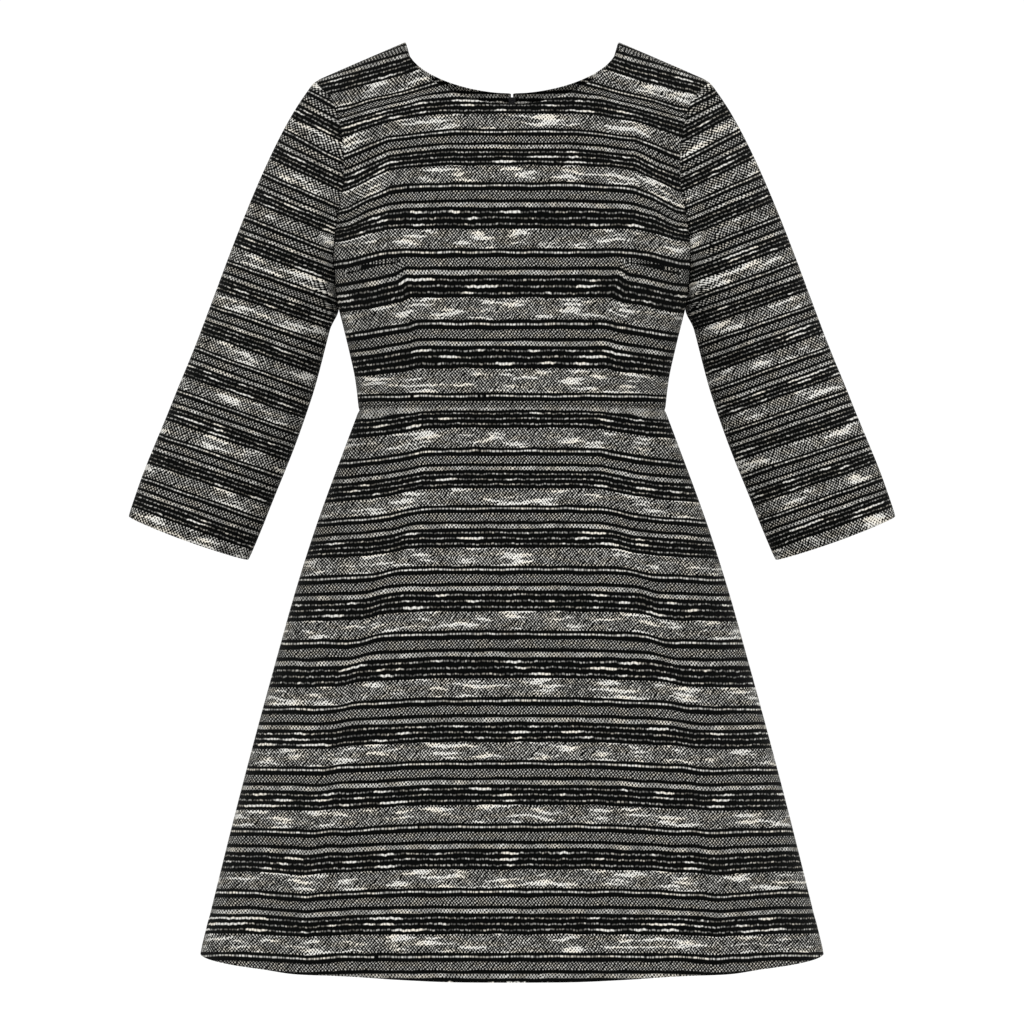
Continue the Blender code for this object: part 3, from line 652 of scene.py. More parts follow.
@dataclass
class ClothGrid:
    """A grid of points over one cut panel, with its weave's coordinates."""

    points: Array
    closed: bool
    weave: WeavePlaces
    least_pitch: float = 0.5
    wall: float = 0.0016
    rim_bulge: float = 0.35
    flat_edges: tuple[tuple[tuple[slice, slice], int], ...] = ()

    def normals(self) -> Array:
        """Return the outward unit normal of each point.

        Returns:
            The normals, laid square to an axis along the flat edges.
        """
        grid = self.points
        if self.closed:
            across = np.roll(grid, -1, axis=1) - np.roll(grid, 1, axis=1)
        else:
            across = np.gradient(grid, axis=1)
        normals = np.cross(across, np.gradient(grid, axis=0))
        normals /= np.maximum(np.linalg.norm(normals, axis=2, keepdims=True), 1e-12)
        middle = grid[grid.shape[0] // 3]
        centre = middle.mean(axis=0) if self.closed else np.zeros(3)
        outward = np.sum((middle - centre) * (1, 1, 0) * normals[grid.shape[0] // 3])
        normals = normals if outward > 0 else -normals
        for (rows, cols), axis in self.flat_edges:
            edge = normals[rows, cols].copy()
            edge[..., axis] = 0.0
            normals[rows, cols] = unit(edge)
        return normals

    def lifted(self, rise: Array) -> "ClothGrid":
        """Return the grid with its points moved out along their normals."""
        return replace(self, points=self.points + self.normals() * rise[..., None])

    def _wrapped(self, rows: Array) -> Array:
        """Return rows with their first column again at the end, where the grid is closed."""
        return np.concatenate((rows, rows[:, :1]), axis=1) if self.closed else rows

    def weft(self) -> Array:
        """Return how far each point lies along its row from the middle of the panel.

        The flecks keep their spacing as seen from the front, until the cloth turns away so far
        that they would be drawn out too long.
        """
        lengths = np.linalg.norm(np.diff(self._wrapped(self.points), axis=1), axis=-1)
        across = np.abs(np.diff(self._wrapped(self.weave.across), axis=1))
        steps = np.maximum(across, lengths * self.least_pitch)
        along = np.concatenate((np.zeros((len(steps), 1)), np.cumsum(steps, axis=1)), axis=1)
        middle = 0 if abs(self.points[0, 0, 0]) < 0.01 else along.shape[1] // 2
        return along - along[:, middle][:, None]

    def mesh(self, name: str, mirrored: bool) -> bpy.types.Mesh:
        """Make the thin shell: outside, inside and a rounded edge between them.

        Args:
            name: Name of the mesh.
            mirrored: Whether it is turned over to the wearer's other side.

        Returns:
            The mesh, with its stripe and weave coordinates as UV maps.
        """
        outer, normals = self.points, self.normals()
        rows, cols = outer.shape[:2]
        inner = outer - normals * self.wall
        rim = self._rim(outer, inner)
        points = np.concatenate((outer.reshape(-1, 3), inner.reshape(-1, 3), rim["points"]))
        if mirrored:
            points, normals = points * MIRROR, normals * MIRROR
        i, j = np.meshgrid(np.arange(rows - 1), np.arange(rim["spans"]), indexing="ij")
        next_j = (j + 1) % cols if self.closed else j + 1
        a, b = i * cols + j, i * cols + next_j
        c, d = a + cols, b + cols
        front = np.stack((a, b, d, c), axis=-1).reshape(-1, 4)
        back = front[:, ::-1] + rows * cols
        faces = np.concatenate((front, back, rim["faces"]))
        made = smooth_mesh(name, points.tolist(), faces.tolist())
        self._write_maps(made, rim, mirrored)
        # the outside's faces may look inwards
        a, b, _, d = points[front[len(front) // 2]]
        normal = normals.reshape(-1, 3)[front[len(front) // 2][0]]
        if np.dot(np.cross(b - a, d - a), normal) < 0:
            made.flip_normals()
        made.update()
        return made

    def _rim(self, outer: Array, inner: Array) -> dict:
        """Lay the rounded edge's middle line and faces round the panel.

        Args:
            outer: The outside's points.
            inner: The inside's points.

        Returns:
            The line's points, the faces, the vertex that each takes its maps from, and spans.
        """
        rows, cols = outer.shape[:2]
        back = rows * cols
        index = np.arange(back).reshape(rows, cols)
        if self.closed:
            borders = [(index[0], index[1]), (index[-1], index[-2])]
        else:
            loop = [index[0, :-1], index[:-1, -1], index[-1, :0:-1], index[:0:-1, 0]]
            near = [index[1, :-1], index[:-1, -2], index[-2, :0:-1], index[:0:-1, 1]]
            borders = [(np.concatenate(loop), np.concatenate(near))]
        flat_outer, flat_inner = outer.reshape(-1, 3), inner.reshape(-1, 3)
        points, faces = [], []
        start = 2 * back
        for edge, near in borders:
            away = flat_outer[edge] - flat_outer[near]
            away /= np.maximum(np.linalg.norm(away, axis=1, keepdims=True), 1e-9)
            middle = (flat_outer[edge] + flat_inner[edge]) / 2
            points.append(middle + away * self.wall * self.rim_bulge)
            k = start + np.arange(len(edge))
            n, after = np.roll(k, -1), np.roll(edge, -1)
            faces.append(np.stack((edge, k, n, after), axis=-1))
            faces.append(np.stack((k, edge + back, after + back, n), axis=-1))
            start += len(edge)
        return {
            "points": np.concatenate(points),
            "faces": np.concatenate(faces),
            "sources": np.concatenate([edge for edge, _ in borders]),
            "spans": cols if self.closed else cols - 1,
        }


    def _write_maps(self, made: bpy.types.Mesh, rim: dict, mirrored: bool) -> None:
        """Write the stripe and weave coordinates as UV maps.

        Args:
            made: The mesh.
            rim: The rounded edge.
            mirrored: Whether the panel is turned over to the wearer's other side.
        """
        rows, cols = self.points.shape[:2]
        weft = -self.weft() if mirrored else self.weft()
        repeats, down = self._wrapped(self.weave.repeats), self._wrapped(self.weave.down)
        wide = repeats.shape[1]
        index = np.arange(rows * cols)
        place = (index // cols) * wide + index % cols
        spot = np.concatenate((place, place, place[rim["sources"]]))
        corners = np.empty(len(made.loops), dtype=np.int64)
        made.loops.foreach_get("vertex_index", corners)
        places = spot[corners].reshape(-1, 4)
        if self.closed:
            columns = places % wide
            wraps = (columns.max(axis=1) > cols - 3) & (columns.min(axis=1) == 0)
            places = np.where(wraps[:, None] & (columns == 0), places + cols, places)
        places = places.reshape(-1)
        along = weft.reshape(-1)[places]
        for name, values in (("Stripe", repeats), ("Weave", down)):
            layer = made.uv_layers.new(name=name)
            pairs = np.stack((along, values.reshape(-1)[places]), axis=-1)
            layer.uv.foreach_set("vector", pairs.astype(np.float32).ravel())


def smooth_mesh(
    name: str, points: Sequence[Sequence[float]], faces: Sequence[Sequence[int]]
) -> bpy.types.Mesh:
    """Return a mesh that is shaded smooth all over."""
    mesh = bpy.data.meshes.new(name)
    mesh.from_pydata(points, [], faces)
    mesh.polygons.foreach_set("use_smooth", np.ones(len(faces), dtype=bool))
    mesh.update()
    return mesh


def add_piece(name: str, mesh: bpy.types.Mesh, finish: bpy.types.Material) -> bpy.types.Object:
    """Add a mesh to the scene as one finished piece."""
    made = bpy.data.objects.new(name, mesh)
    bpy.context.scene.collection.objects.link(made)
    mesh.materials.append(finish)
    return made


# ---- Shaders ---------------------------------------------------------------------------------
Operand = Union["Value", float]


class Graph:
    """The nodes of one material."""

    def __init__(self, name: str) -> None:
        """Start a material with a Principled shader.

        Args:
            name: Name of the material.
        """
        self.material = bpy.data.materials.new(name)
        self.material.use_nodes = True
        self.tree = self.material.node_tree
        self.shader = self.tree.nodes["Principled BSDF"]

    def node(
        self, kind: str, settings: Optional[dict] = None, sockets: Optional[dict] = None
    ) -> bpy.types.Node:
        """Add a node.

        Args:
            kind: Its type, without the ShaderNode in front.
            settings: Properties to set first.
            sockets: Values, or values of this graph, for its inputs by name or number.

        Returns:
            The node.
        """
        made = self.tree.nodes.new("ShaderNode" + kind)
        for key, value in (settings or {}).items():
            setattr(made, key, value)
        for key, value in (sockets or {}).items():
            self.feed(made.inputs[key], value)
        return made

    def feed(self, socket: bpy.types.NodeSocket, value: object) -> None:
        """Give a socket a number, a colour, or a link from a value or a socket."""
        if isinstance(value, Value):
            self.tree.links.new(value.socket, socket)
        elif isinstance(value, bpy.types.NodeSocket):
            self.tree.links.new(value, socket)
        else:
            socket.default_value = value

    def shade(self, inputs: dict[str, object]) -> bpy.types.Material:
        """Feed the shader's inputs by name and return the finished material."""
        for name, value in inputs.items():
            self.feed(self.shader.inputs[name], value)
        return self.material

    def bump(self, height: "Value", distance: float, strength: float = 1.0) -> bpy.types.NodeSocket:
        """Return the surface's normal where a height stands out of it by up to a distance."""
        sockets = {"Height": height, "Distance": distance, "Strength": strength}
        return self.node("Bump", {}, sockets).outputs[0]

    def parts(self, vector: bpy.types.NodeSocket) -> list["Value"]:
        """Return a vector's three parts."""
        split = self.node("SeparateXYZ", {}, {0: vector})
        return [Value(self, socket) for socket in split.outputs]

    def coordinates(self, name: str) -> list["Value"]:
        """Return the coordinates of a UV map."""
        return self.parts(self.node("UVMap", {"uv_map": name}).outputs["UV"])

    def place(self) -> list["Value"]:
        """Return the place on the object: x, y and z."""
        return self.parts(self.node("TexCoord").outputs["Object"])

    def noise(self, x: Operand, y: Operand, z: Operand = 0.0, detail: float = 0.0) -> "Value":
        """Return smooth noise, about 0 to 1 with its middle at a half.

        Args:
            x: First coordinate, a cell each whole number.
            y: Second coordinate.
            z: Third coordinate.
            detail: How many finer layers are added.

        Returns:
            The noise.
        """
        flat = not isinstance(z, Value)
        if flat:
            x, y, z = x + z * 7.31, y + z * 3.17, 0.0
        at = self.node("CombineXYZ", {}, {0: x, 1: y, 2: z})
        made = self.node(
            "TexNoise",
            {"noise_dimensions": "2D" if flat else "3D"},
            {"Vector": at.outputs[0], "Scale": 1.0, "Detail": detail},
        )
        return Value(self, made.outputs["Fac"])

    def chance(self, x: Operand, y: Operand) -> "Value":
        """Return a random number from 0 to 1 for each pair of whole numbers."""
        at = self.node("CombineXYZ", {}, {0: x, 1: y})
        made = self.node("TexWhiteNoise", {"noise_dimensions": "2D"}, {"Vector": at.outputs[0]})
        return Value(self, made.outputs["Value"])

    def mix(self, share: Operand, low: object, high: object) -> bpy.types.NodeSocket:
        """Return a colour between two, by the share of the second."""
        made = self.node("Mix", {"data_type": "RGBA"}, {0: share, 6: low, 7: high})
        return made.outputs[2]


class Value:
    """A number that changes over the surface; sums on it add Math nodes."""

    def __init__(self, graph: Graph, socket: bpy.types.NodeSocket) -> None:
        """Wrap a socket of a graph."""
        self.graph, self.socket = graph, socket

    def _math(self, operation: str, *values: Operand) -> "Value":
        """Return one Math node's result."""
        made = self.graph.node("Math", {"operation": operation}, dict(enumerate(values)))
        return Value(self.graph, made.outputs[0])

    def __add__(self, other: Operand) -> "Value":
        """Add."""
        return self._math("ADD", self, other)

    def __radd__(self, other: float) -> "Value":
        """Add to a number."""
        return self._math("ADD", other, self)

    def __sub__(self, other: Operand) -> "Value":
        """Take away."""
        return self._math("SUBTRACT", self, other)

    def __rsub__(self, other: float) -> "Value":
        """Take away from a number."""
        return self._math("SUBTRACT", other, self)

    def __mul__(self, other: Operand) -> "Value":
        """Multiply."""
        return self._math("MULTIPLY", self, other)

    def __rmul__(self, other: float) -> "Value":
        """Multiply a number."""
        return self._math("MULTIPLY", other, self)

    def sine(self) -> "Value":
        """Return the sine."""
        return self._math("SINE", self)

    def floor(self) -> "Value":
        """Return the whole number below."""
        return self._math("FLOOR", self)

    def fraction(self) -> "Value":
        """Return what is left above the whole number below."""
        return self._math("FRACT", self)

    def size(self) -> "Value":
        """Return the value without its sign."""
        return self._math("ABSOLUTE", self)

    def largest(self, other: Operand) -> "Value":
        """Return the larger of two."""
        return self._math("MAXIMUM", self, other)

    def smallest(self, other: Operand) -> "Value":
        """Return the smaller of two."""
        return self._math("MINIMUM", self, other)

    def rising(self, low: float, high: float) -> "Value":
        """Return 0 below low, 1 above high and an even S between them."""
        made = self.graph.node(
            "MapRange",
            {"interpolation_type": "SMOOTHSTEP"},
            {"Value": self, "From Min": low, "From Max": high},
        )
        return Value(self.graph, made.outputs["Result"])

    def inside(self, low: float, high: float, soft: float) -> "Value":
        """Return 1 between low and high, falling to 0 over soft at either edge."""
        return self.rising(low - soft, low + soft) * (1 - self.rising(high - soft, high + soft))


@dataclass(frozen=True)
class Tweed:
    """Black cloth with woven bands and rows of off-white and cream flecks across it."""

    name: str = "Striped_tweed"
    black: tuple[float, ...] = (0.0014, 0.0016, 0.0015, 1.0)
    white: tuple[float, ...] = (0.725, 0.715, 0.672, 1.0)
    cream: tuple[float, ...] = (0.800, 0.755, 0.658, 1.0)
    pitch: float = 0.0032
    row_pitch: float = 0.0037
    # the woven rows by share of a repeat
    band_end: float = 0.285
    thin_row: float = 0.347
    grey_low: float = 0.428
    grey_high: float = 0.556
    braid_low: float = 0.612
    braid_high: float = 0.676
    dotted_rows: tuple[float, ...] = (0.750, 0.841, 0.934)

    def build(self) -> bpy.types.Material:
        """Make the material.

        Returns:
            The material.
        """
        g = Graph(self.name)
        weft, repeats, _ = g.coordinates("Stripe")
        down = g.coordinates("Weave")[1]
        sway = g.noise(weft * 34.0, repeats * 5.0, 0.0, 1.0) - 0.5
        share = (repeats + sway * 0.034).fraction()
        number = repeats.floor()

        # two crossing sets of diagonals, each fleck at a crossing
        turn = 2 * math.pi
        slip = (g.noise(weft * 190.0, down * 190.0, 9.0) - 0.5) * 4.2
        a = weft * (turn / self.pitch) + slip
        b = down * (turn / self.row_pitch) + slip * 0.6
        rising_left, rising_right = a + b, a - b
        left, right = rising_left.sine(), rising_right.sine()
        fleck = g.chance((rising_left * (1 / turn)).floor(), (rising_right * (1 / turn)).floor())
        lean = g.noise(weft * 150.0, down * 150.0, 3.0).rising(0.36, 0.64) * 0.20 + 0.40
        twill = left + (right - left) * lean
        even = (left + right) * 0.5

        light = self._band(Threads(g, weft, share, down), twill, fleck)
        grey = share.inside(self.grey_low, self.grey_high, 0.008)
        light = light.largest(grey * even.rising(0.02, 0.64) * (0.32 + 0.38 * fleck))
        swell = g.noise(weft * 75.0, number * 3.7, 17.0, 2.0).rising(0.36, 0.74)
        braid = share.inside(self.braid_low, self.braid_high, 0.009)
        braid = braid * even.rising(-0.40, 0.45) * (0.30 + 0.22 * fleck + 0.46 * swell)
        light = light.largest(braid).largest(self._thin(Threads(g, weft, share, number), swell))
        for k, middle in enumerate(self.dotted_rows):
            row = number * 5.3 + 2.9 * k
            light = light.largest(self._dotted(Threads(g, weft, share, row), middle))

        warmth = g.noise(weft * 45.0, down * 160.0, 41.0).rising(0.46, 0.72)
        yarn = g.mix(warmth, self.white, self.cream)
        return g.shade({
            "Base Color": g.mix(light.smallest(1.0), self.black, yarn),
            "Roughness": 0.95 - light * 0.10,
            "Specular IOR Level": 0.025,
            "Sheen Weight": 0.006,
            "Sheen Roughness": 0.6,
            "Normal": g.bump(even * 0.5 + b.sine() * 0.15, 0.0003),
        })

    def _band(self, at: "Threads", twill: Value, fleck: Value) -> Value:
        """Return how light the wide band is: close flecks under thick uneven strokes of yarn.

        Args:
            at: Places in the weave, down the cloth.
            twill: The crossing diagonals.
            fleck: A random number for each fleck.

        Returns:
            How light the cloth is there.
        """
        reach = at.share.inside(0.0, self.band_end, 0.010)
        rim = 1 - (at.share - 0.5 * self.band_end).size().rising(0.06, 0.15)
        wave = (at.noise(80.0, 80.0, 19.0) - 0.5) * 0.0030
        line = at.g.noise(at.weft * 36.0, (at.row + wave) * 290.0, 11.0)
        bumps = at.noise(360.0, 340.0, 13.0)
        patch = at.noise(30.0, 75.0, 5.0)
        stroke = (line + patch * 0.60 + bumps * 0.10 - rim * 0.040).rising(0.905, 1.14)
        cloud = patch.rising(0.34, 0.72)
        dots = (twill - 0.24 + fleck * 0.34 + stroke * 0.62).rising(0.0, 0.58)
        return reach * dots * (0.34 + 0.40 * fleck + 0.16 * cloud + 0.56 * stroke)

    def _thin(self, at: "Threads", swell: Value) -> Value:
        """Return how light the thin row is: one beaded thread that breaks here and there."""
        line = 1 - at.away(self.thin_row, at.noise(200.0, 1.7, 27.0), 0.010).rising(0.003, 0.020)
        bead, chance = at.beads(0.0033, 130.0, 23.0, 1.5)
        broken = at.noise(170.0, 4.1, 29.0).rising(0.13, 0.21)
        beads = 1 - (bead + chance * 0.16).rising(0.26, 0.46)
        return line * broken * (0.12 + beads * (0.62 + 0.40 * swell - 0.46 * chance))

    def _dotted(self, at: "Threads", middle: float) -> Value:
        """Return how light a row of dim dots is, with bright tapered knots of yarn in it."""
        away = at.away(middle, at.noise(260.0, None, 33.0), 0.026)
        knot = at.noise(33.0, None, 31.0, 1.0) + at.noise(300.0, None, 35.0) * 0.05
        knot = knot.rising(0.612, 0.76)
        bead, chance = at.beads(0.0034, 120.0, 37.0, 1.4)
        dot = 1 - bead.rising(0.18, 0.44)
        dim = (1 - away.rising(0.001, 0.019)) * (dot * (0.10 + 0.56 * chance * chance))
        thick = 1 - (away - knot * 0.006).rising(0.002, 0.017)
        return dim.largest(knot.rising(0.05, 0.35) * thick * (0.40 + 0.62 * dot))


@dataclass(frozen=True)
class Threads:
    """Places in the weave: along the row, share of the repeat, and down the cloth or the row."""

    g: Graph
    weft: Value
    share: Value
    row: Value

    def noise(
        self, along: float, down: Optional[float], seed: float, detail: float = 0.0
    ) -> Value:
        """Return noise with so many cells a metre along and down; one row is at one place."""
        row = self.row if down is None else self.row * down
        return self.g.noise(self.weft * along, row, seed, detail)

    def away(self, middle: float, wander: Value, reach: float) -> Value:
        """Return the distance from a row's middle, which wanders by up to a reach."""
        return (self.share + (wander - 0.5) * reach - middle).size()

    def beads(self, pitch: float, along: float, seed: float, wobble: float) -> tuple[Value, Value]:
        """Return the distance from the nearest bead's middle and a random number for it."""
        step = self.weft * (1 / pitch) + self.noise(along, None, seed) * wobble
        return (step.fraction() - 0.5).size(), self.g.chance(step.floor(), self.row)


@dataclass(frozen=True)
class ZipCloth:
    """Black ribbed tape of a zip, with a painted highlight on its rib crests."""

    name: str = "Zip_tape_cloth"
    black: tuple[float, ...] = (0.010, 0.010, 0.011, 1.0)
    # grey of the painted highlight on the rib crests
    crest_highlight: tuple[float, ...] = (0.030, 0.030, 0.031, 1.0)

    def build(self) -> bpy.types.Material:
        """Make the material."""
        g = Graph(self.name)
        x, _, z = g.place()
        ribs = (x * (2 * math.pi / 0.0009)).sine() * (z * (2 * math.pi / 0.0011)).sine()
        fuzz = g.noise(x * 900.0, z * 900.0, 2.0, 1.0)
        return g.shade({
            # painted highlight: grey where the ribs' bump height peaks, broken up by the fuzz noise
            "Base Color": g.mix(ribs.rising(0, 1) * fuzz, self.black, self.crest_highlight),
            "Roughness": 0.70 + fuzz * 0.2,
            "Normal": g.bump(ribs + fuzz, 0.00015, 0.5),
        })


@dataclass(frozen=True)
class Enamel:
    """Black enamelled metal, rubbed a little in scattered patches."""

    name: str = "Black_enamel"
    black: tuple[float, ...] = (0.012, 0.012, 0.013, 1.0)
    bare: tuple[float, ...] = (0.18, 0.17, 0.16, 1.0)

    def build(self) -> bpy.types.Material:
        """Make the material."""
        g = Graph(self.name)
        x, y, z = g.place()
        rub = g.noise(x * 700.0, y * 700.0, z * 700.0, 2.0).rising(0.66, 0.78)
        return g.shade({
            "Base Color": g.mix(rub * 0.5, self.black, self.bare),
            "Roughness": 0.30 + rub * 0.25,
            "Metallic": 0.2 + rub * 0.6,
            "Coat Roughness": 0.12,
            "Coat Weight": 0.4,
        })


@dataclass(frozen=True)
class PaleFloor:
    """Matt pale floor of the studio."""

    name: str = "Pale_floor"
    pale: tuple[float, ...] = (0.970, 0.970, 0.967, 1.0)
    paler: tuple[float, ...] = (0.985, 0.985, 0.982, 1.0)

    def build(self) -> bpy.types.Material:
        """Make the material."""
        g = Graph(self.name)
        x, y, _ = g.place()
        cloud = g.noise(x * 0.6, y * 0.6, 0.0, 2.0)
        return g.shade({
            "Base Color": g.mix(cloud, self.pale, self.paler),
            "Roughness": 0.9,
            "Specular IOR Level": 0.1,
        })


# ---- Pieces of the dress ---------------------------------------------------------------------
# distances from a seam of the extra lines of points by it, from the far one to the seam itself
SEAM_STEPS = (0.0030, 0.0017, 0.0008)
FROM_SEAM = np.array((0.0, *SEAM_STEPS[::-1]))
Edges = list[tuple[tuple[slice, slice], int]]


def spread_columns(line: Array, count: int, near: Sequence[float]) -> Array:
    """Share points out evenly along a line, with a few close to its end.

    Args:
        line: Distances of closely set points along the line.
        count: Number of even steps.
        near: Distances from the end of the extra points.

    Returns:
        Places along the closely set points, as shares of their number.
    """
    length = line[-1]
    even = np.linspace(0.0, length - (near[0] * 1.6 if near else 0.0), count + 1)
    wanted = np.concatenate((even, length - np.array(near), [length])) if near else even
    return np.interp(wanted, line, np.linspace(0.0, 1.0, len(line)))


def creased(
    rise: Array, laid: Sequence[Crease], x: Array, z: Array, within: Union[Array, float] = 1.0
) -> Array:
    """Return a rise with creases laid on it.

    Args:
        rise: How far the cloth is lifted already.
        laid: The creases.
        x: Distances across the face.
        z: Heights on it.
        within: Share of the creases that is felt.

    Returns:
        The whole rise.
    """
    for crease in laid:
        rise = rise + within * crease.push(x, z)
    return rise


@dataclass(frozen=True)
class Sheet:
    """What is said of a panel's cut: its flat size, its area and how it is held."""

    flat: tuple[float, float]
    area: float
    held: str


@dataclass
class Tailored:
    """Pieces of tweed: what they are cut by, and the pressing of their seams and hems."""

    form: DressForm
    stripes: StripeLayout
    finish: bpy.types.Material
    seam_dip: float = 0.0006
    seam_width: float = 0.0019
    hem_dip: float = 0.0005
    hem_width: float = 0.004

    def add(
        self, name: str, grid: ClothGrid, side: Side, sheet: Sheet, rests_on: list[str]
    ) -> bpy.types.Object:
        """Add a panel in the place of its solid.

        Args:
            name: The panel's name.
            grid: Its grid, on the wearer's left.
            side: Its own side.
            sheet: Its cut; not used.
            rests_on: The solids that carry it; not used.

        Returns:
            The piece.
        """
        piece = add_piece(name + "_cloth", grid.mesh(name, side is Side.RIGHT), self.finish)
        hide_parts(name.lower())
        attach(piece, "dress")
        return piece


@dataclass
class BodyPanels(Tailored):
    """A front in one piece and two backs that the zip parts."""

    kind: str = ""
    front_sheet: Optional[Sheet] = None
    back_sheet: Optional[Sheet] = None
    front_creases: tuple[Crease, ...] = ()
    back_creases: tuple[Crease, ...] = ()
    zip_half_gap: float = 0.0016

    def half_grid(self, half: Half) -> Array:
        """Return the points of half a panel, rows from the waist, columns outward."""
        raise NotImplementedError

    def panel(self, half: Half, points: Array, side: Side) -> ClothGrid:
        """Make a panel's grid with its seams pressed in and its creases laid on.

        Args:
            half: Front or back.
            points: The plain form's points, on the wearer's left.
            side: The side that a back is made for.

        Returns:
            The grid.
        """
        raise NotImplementedError

    def carriers(self, part: str) -> list[str]:
        """Return the solids that carry a panel."""
        raise NotImplementedError

    def flat_edges(self, half: Half, side_rows: slice) -> Edges:
        """Return the edges at the side seams and the zip, and the axis that each is square to."""
        by_side, by_zip = (side_rows, 1), (slice(None), 0)
        first = by_side if half is Half.FRONT else by_zip
        return [
            ((rows, columns), axis)
            for (rows, axis), columns in ((first, slice(0, 1)), (by_side, slice(-1, None)))
        ]

    def dips(self, points: Array) -> Array:
        """Return how deep points lie in the seams at the waist and at both side edges."""
        along = lengths_along(points.transpose(1, 0, 2)).T
        dip = bell(lengths_along(points), self.seam_width)
        for column in (0, -1):
            reach = np.abs(along - along[:, column][:, None])
            dip = np.maximum(dip, bell(reach, self.seam_width))
        return dip

    def build(self) -> list[bpy.types.Object]:
        """Build the front and the two backs, and keep the bodice's edges for the sleeves."""
        front, back = self.half_grid(Half.FRONT), self.half_grid(Half.BACK)
        self.front_edge, self.back_edge = front[:, -1], back[:, -1]
        whole = np.concatenate((front[:, :0:-1] * MIRROR, front), axis=1)
        panels = [("front", Half.FRONT, whole, Side.LEFT, self.front_sheet)]
        for side in Side:
            panels.append((f"back_{side.name.lower()}", Half.BACK, back, side, self.back_sheet))
        return [
            self.add(
                f"{self.kind}_{part}", self.panel(half, points, side), side, sheet,
                self.carriers(part),
            )
            for part, half, points, side, sheet in panels
        ]


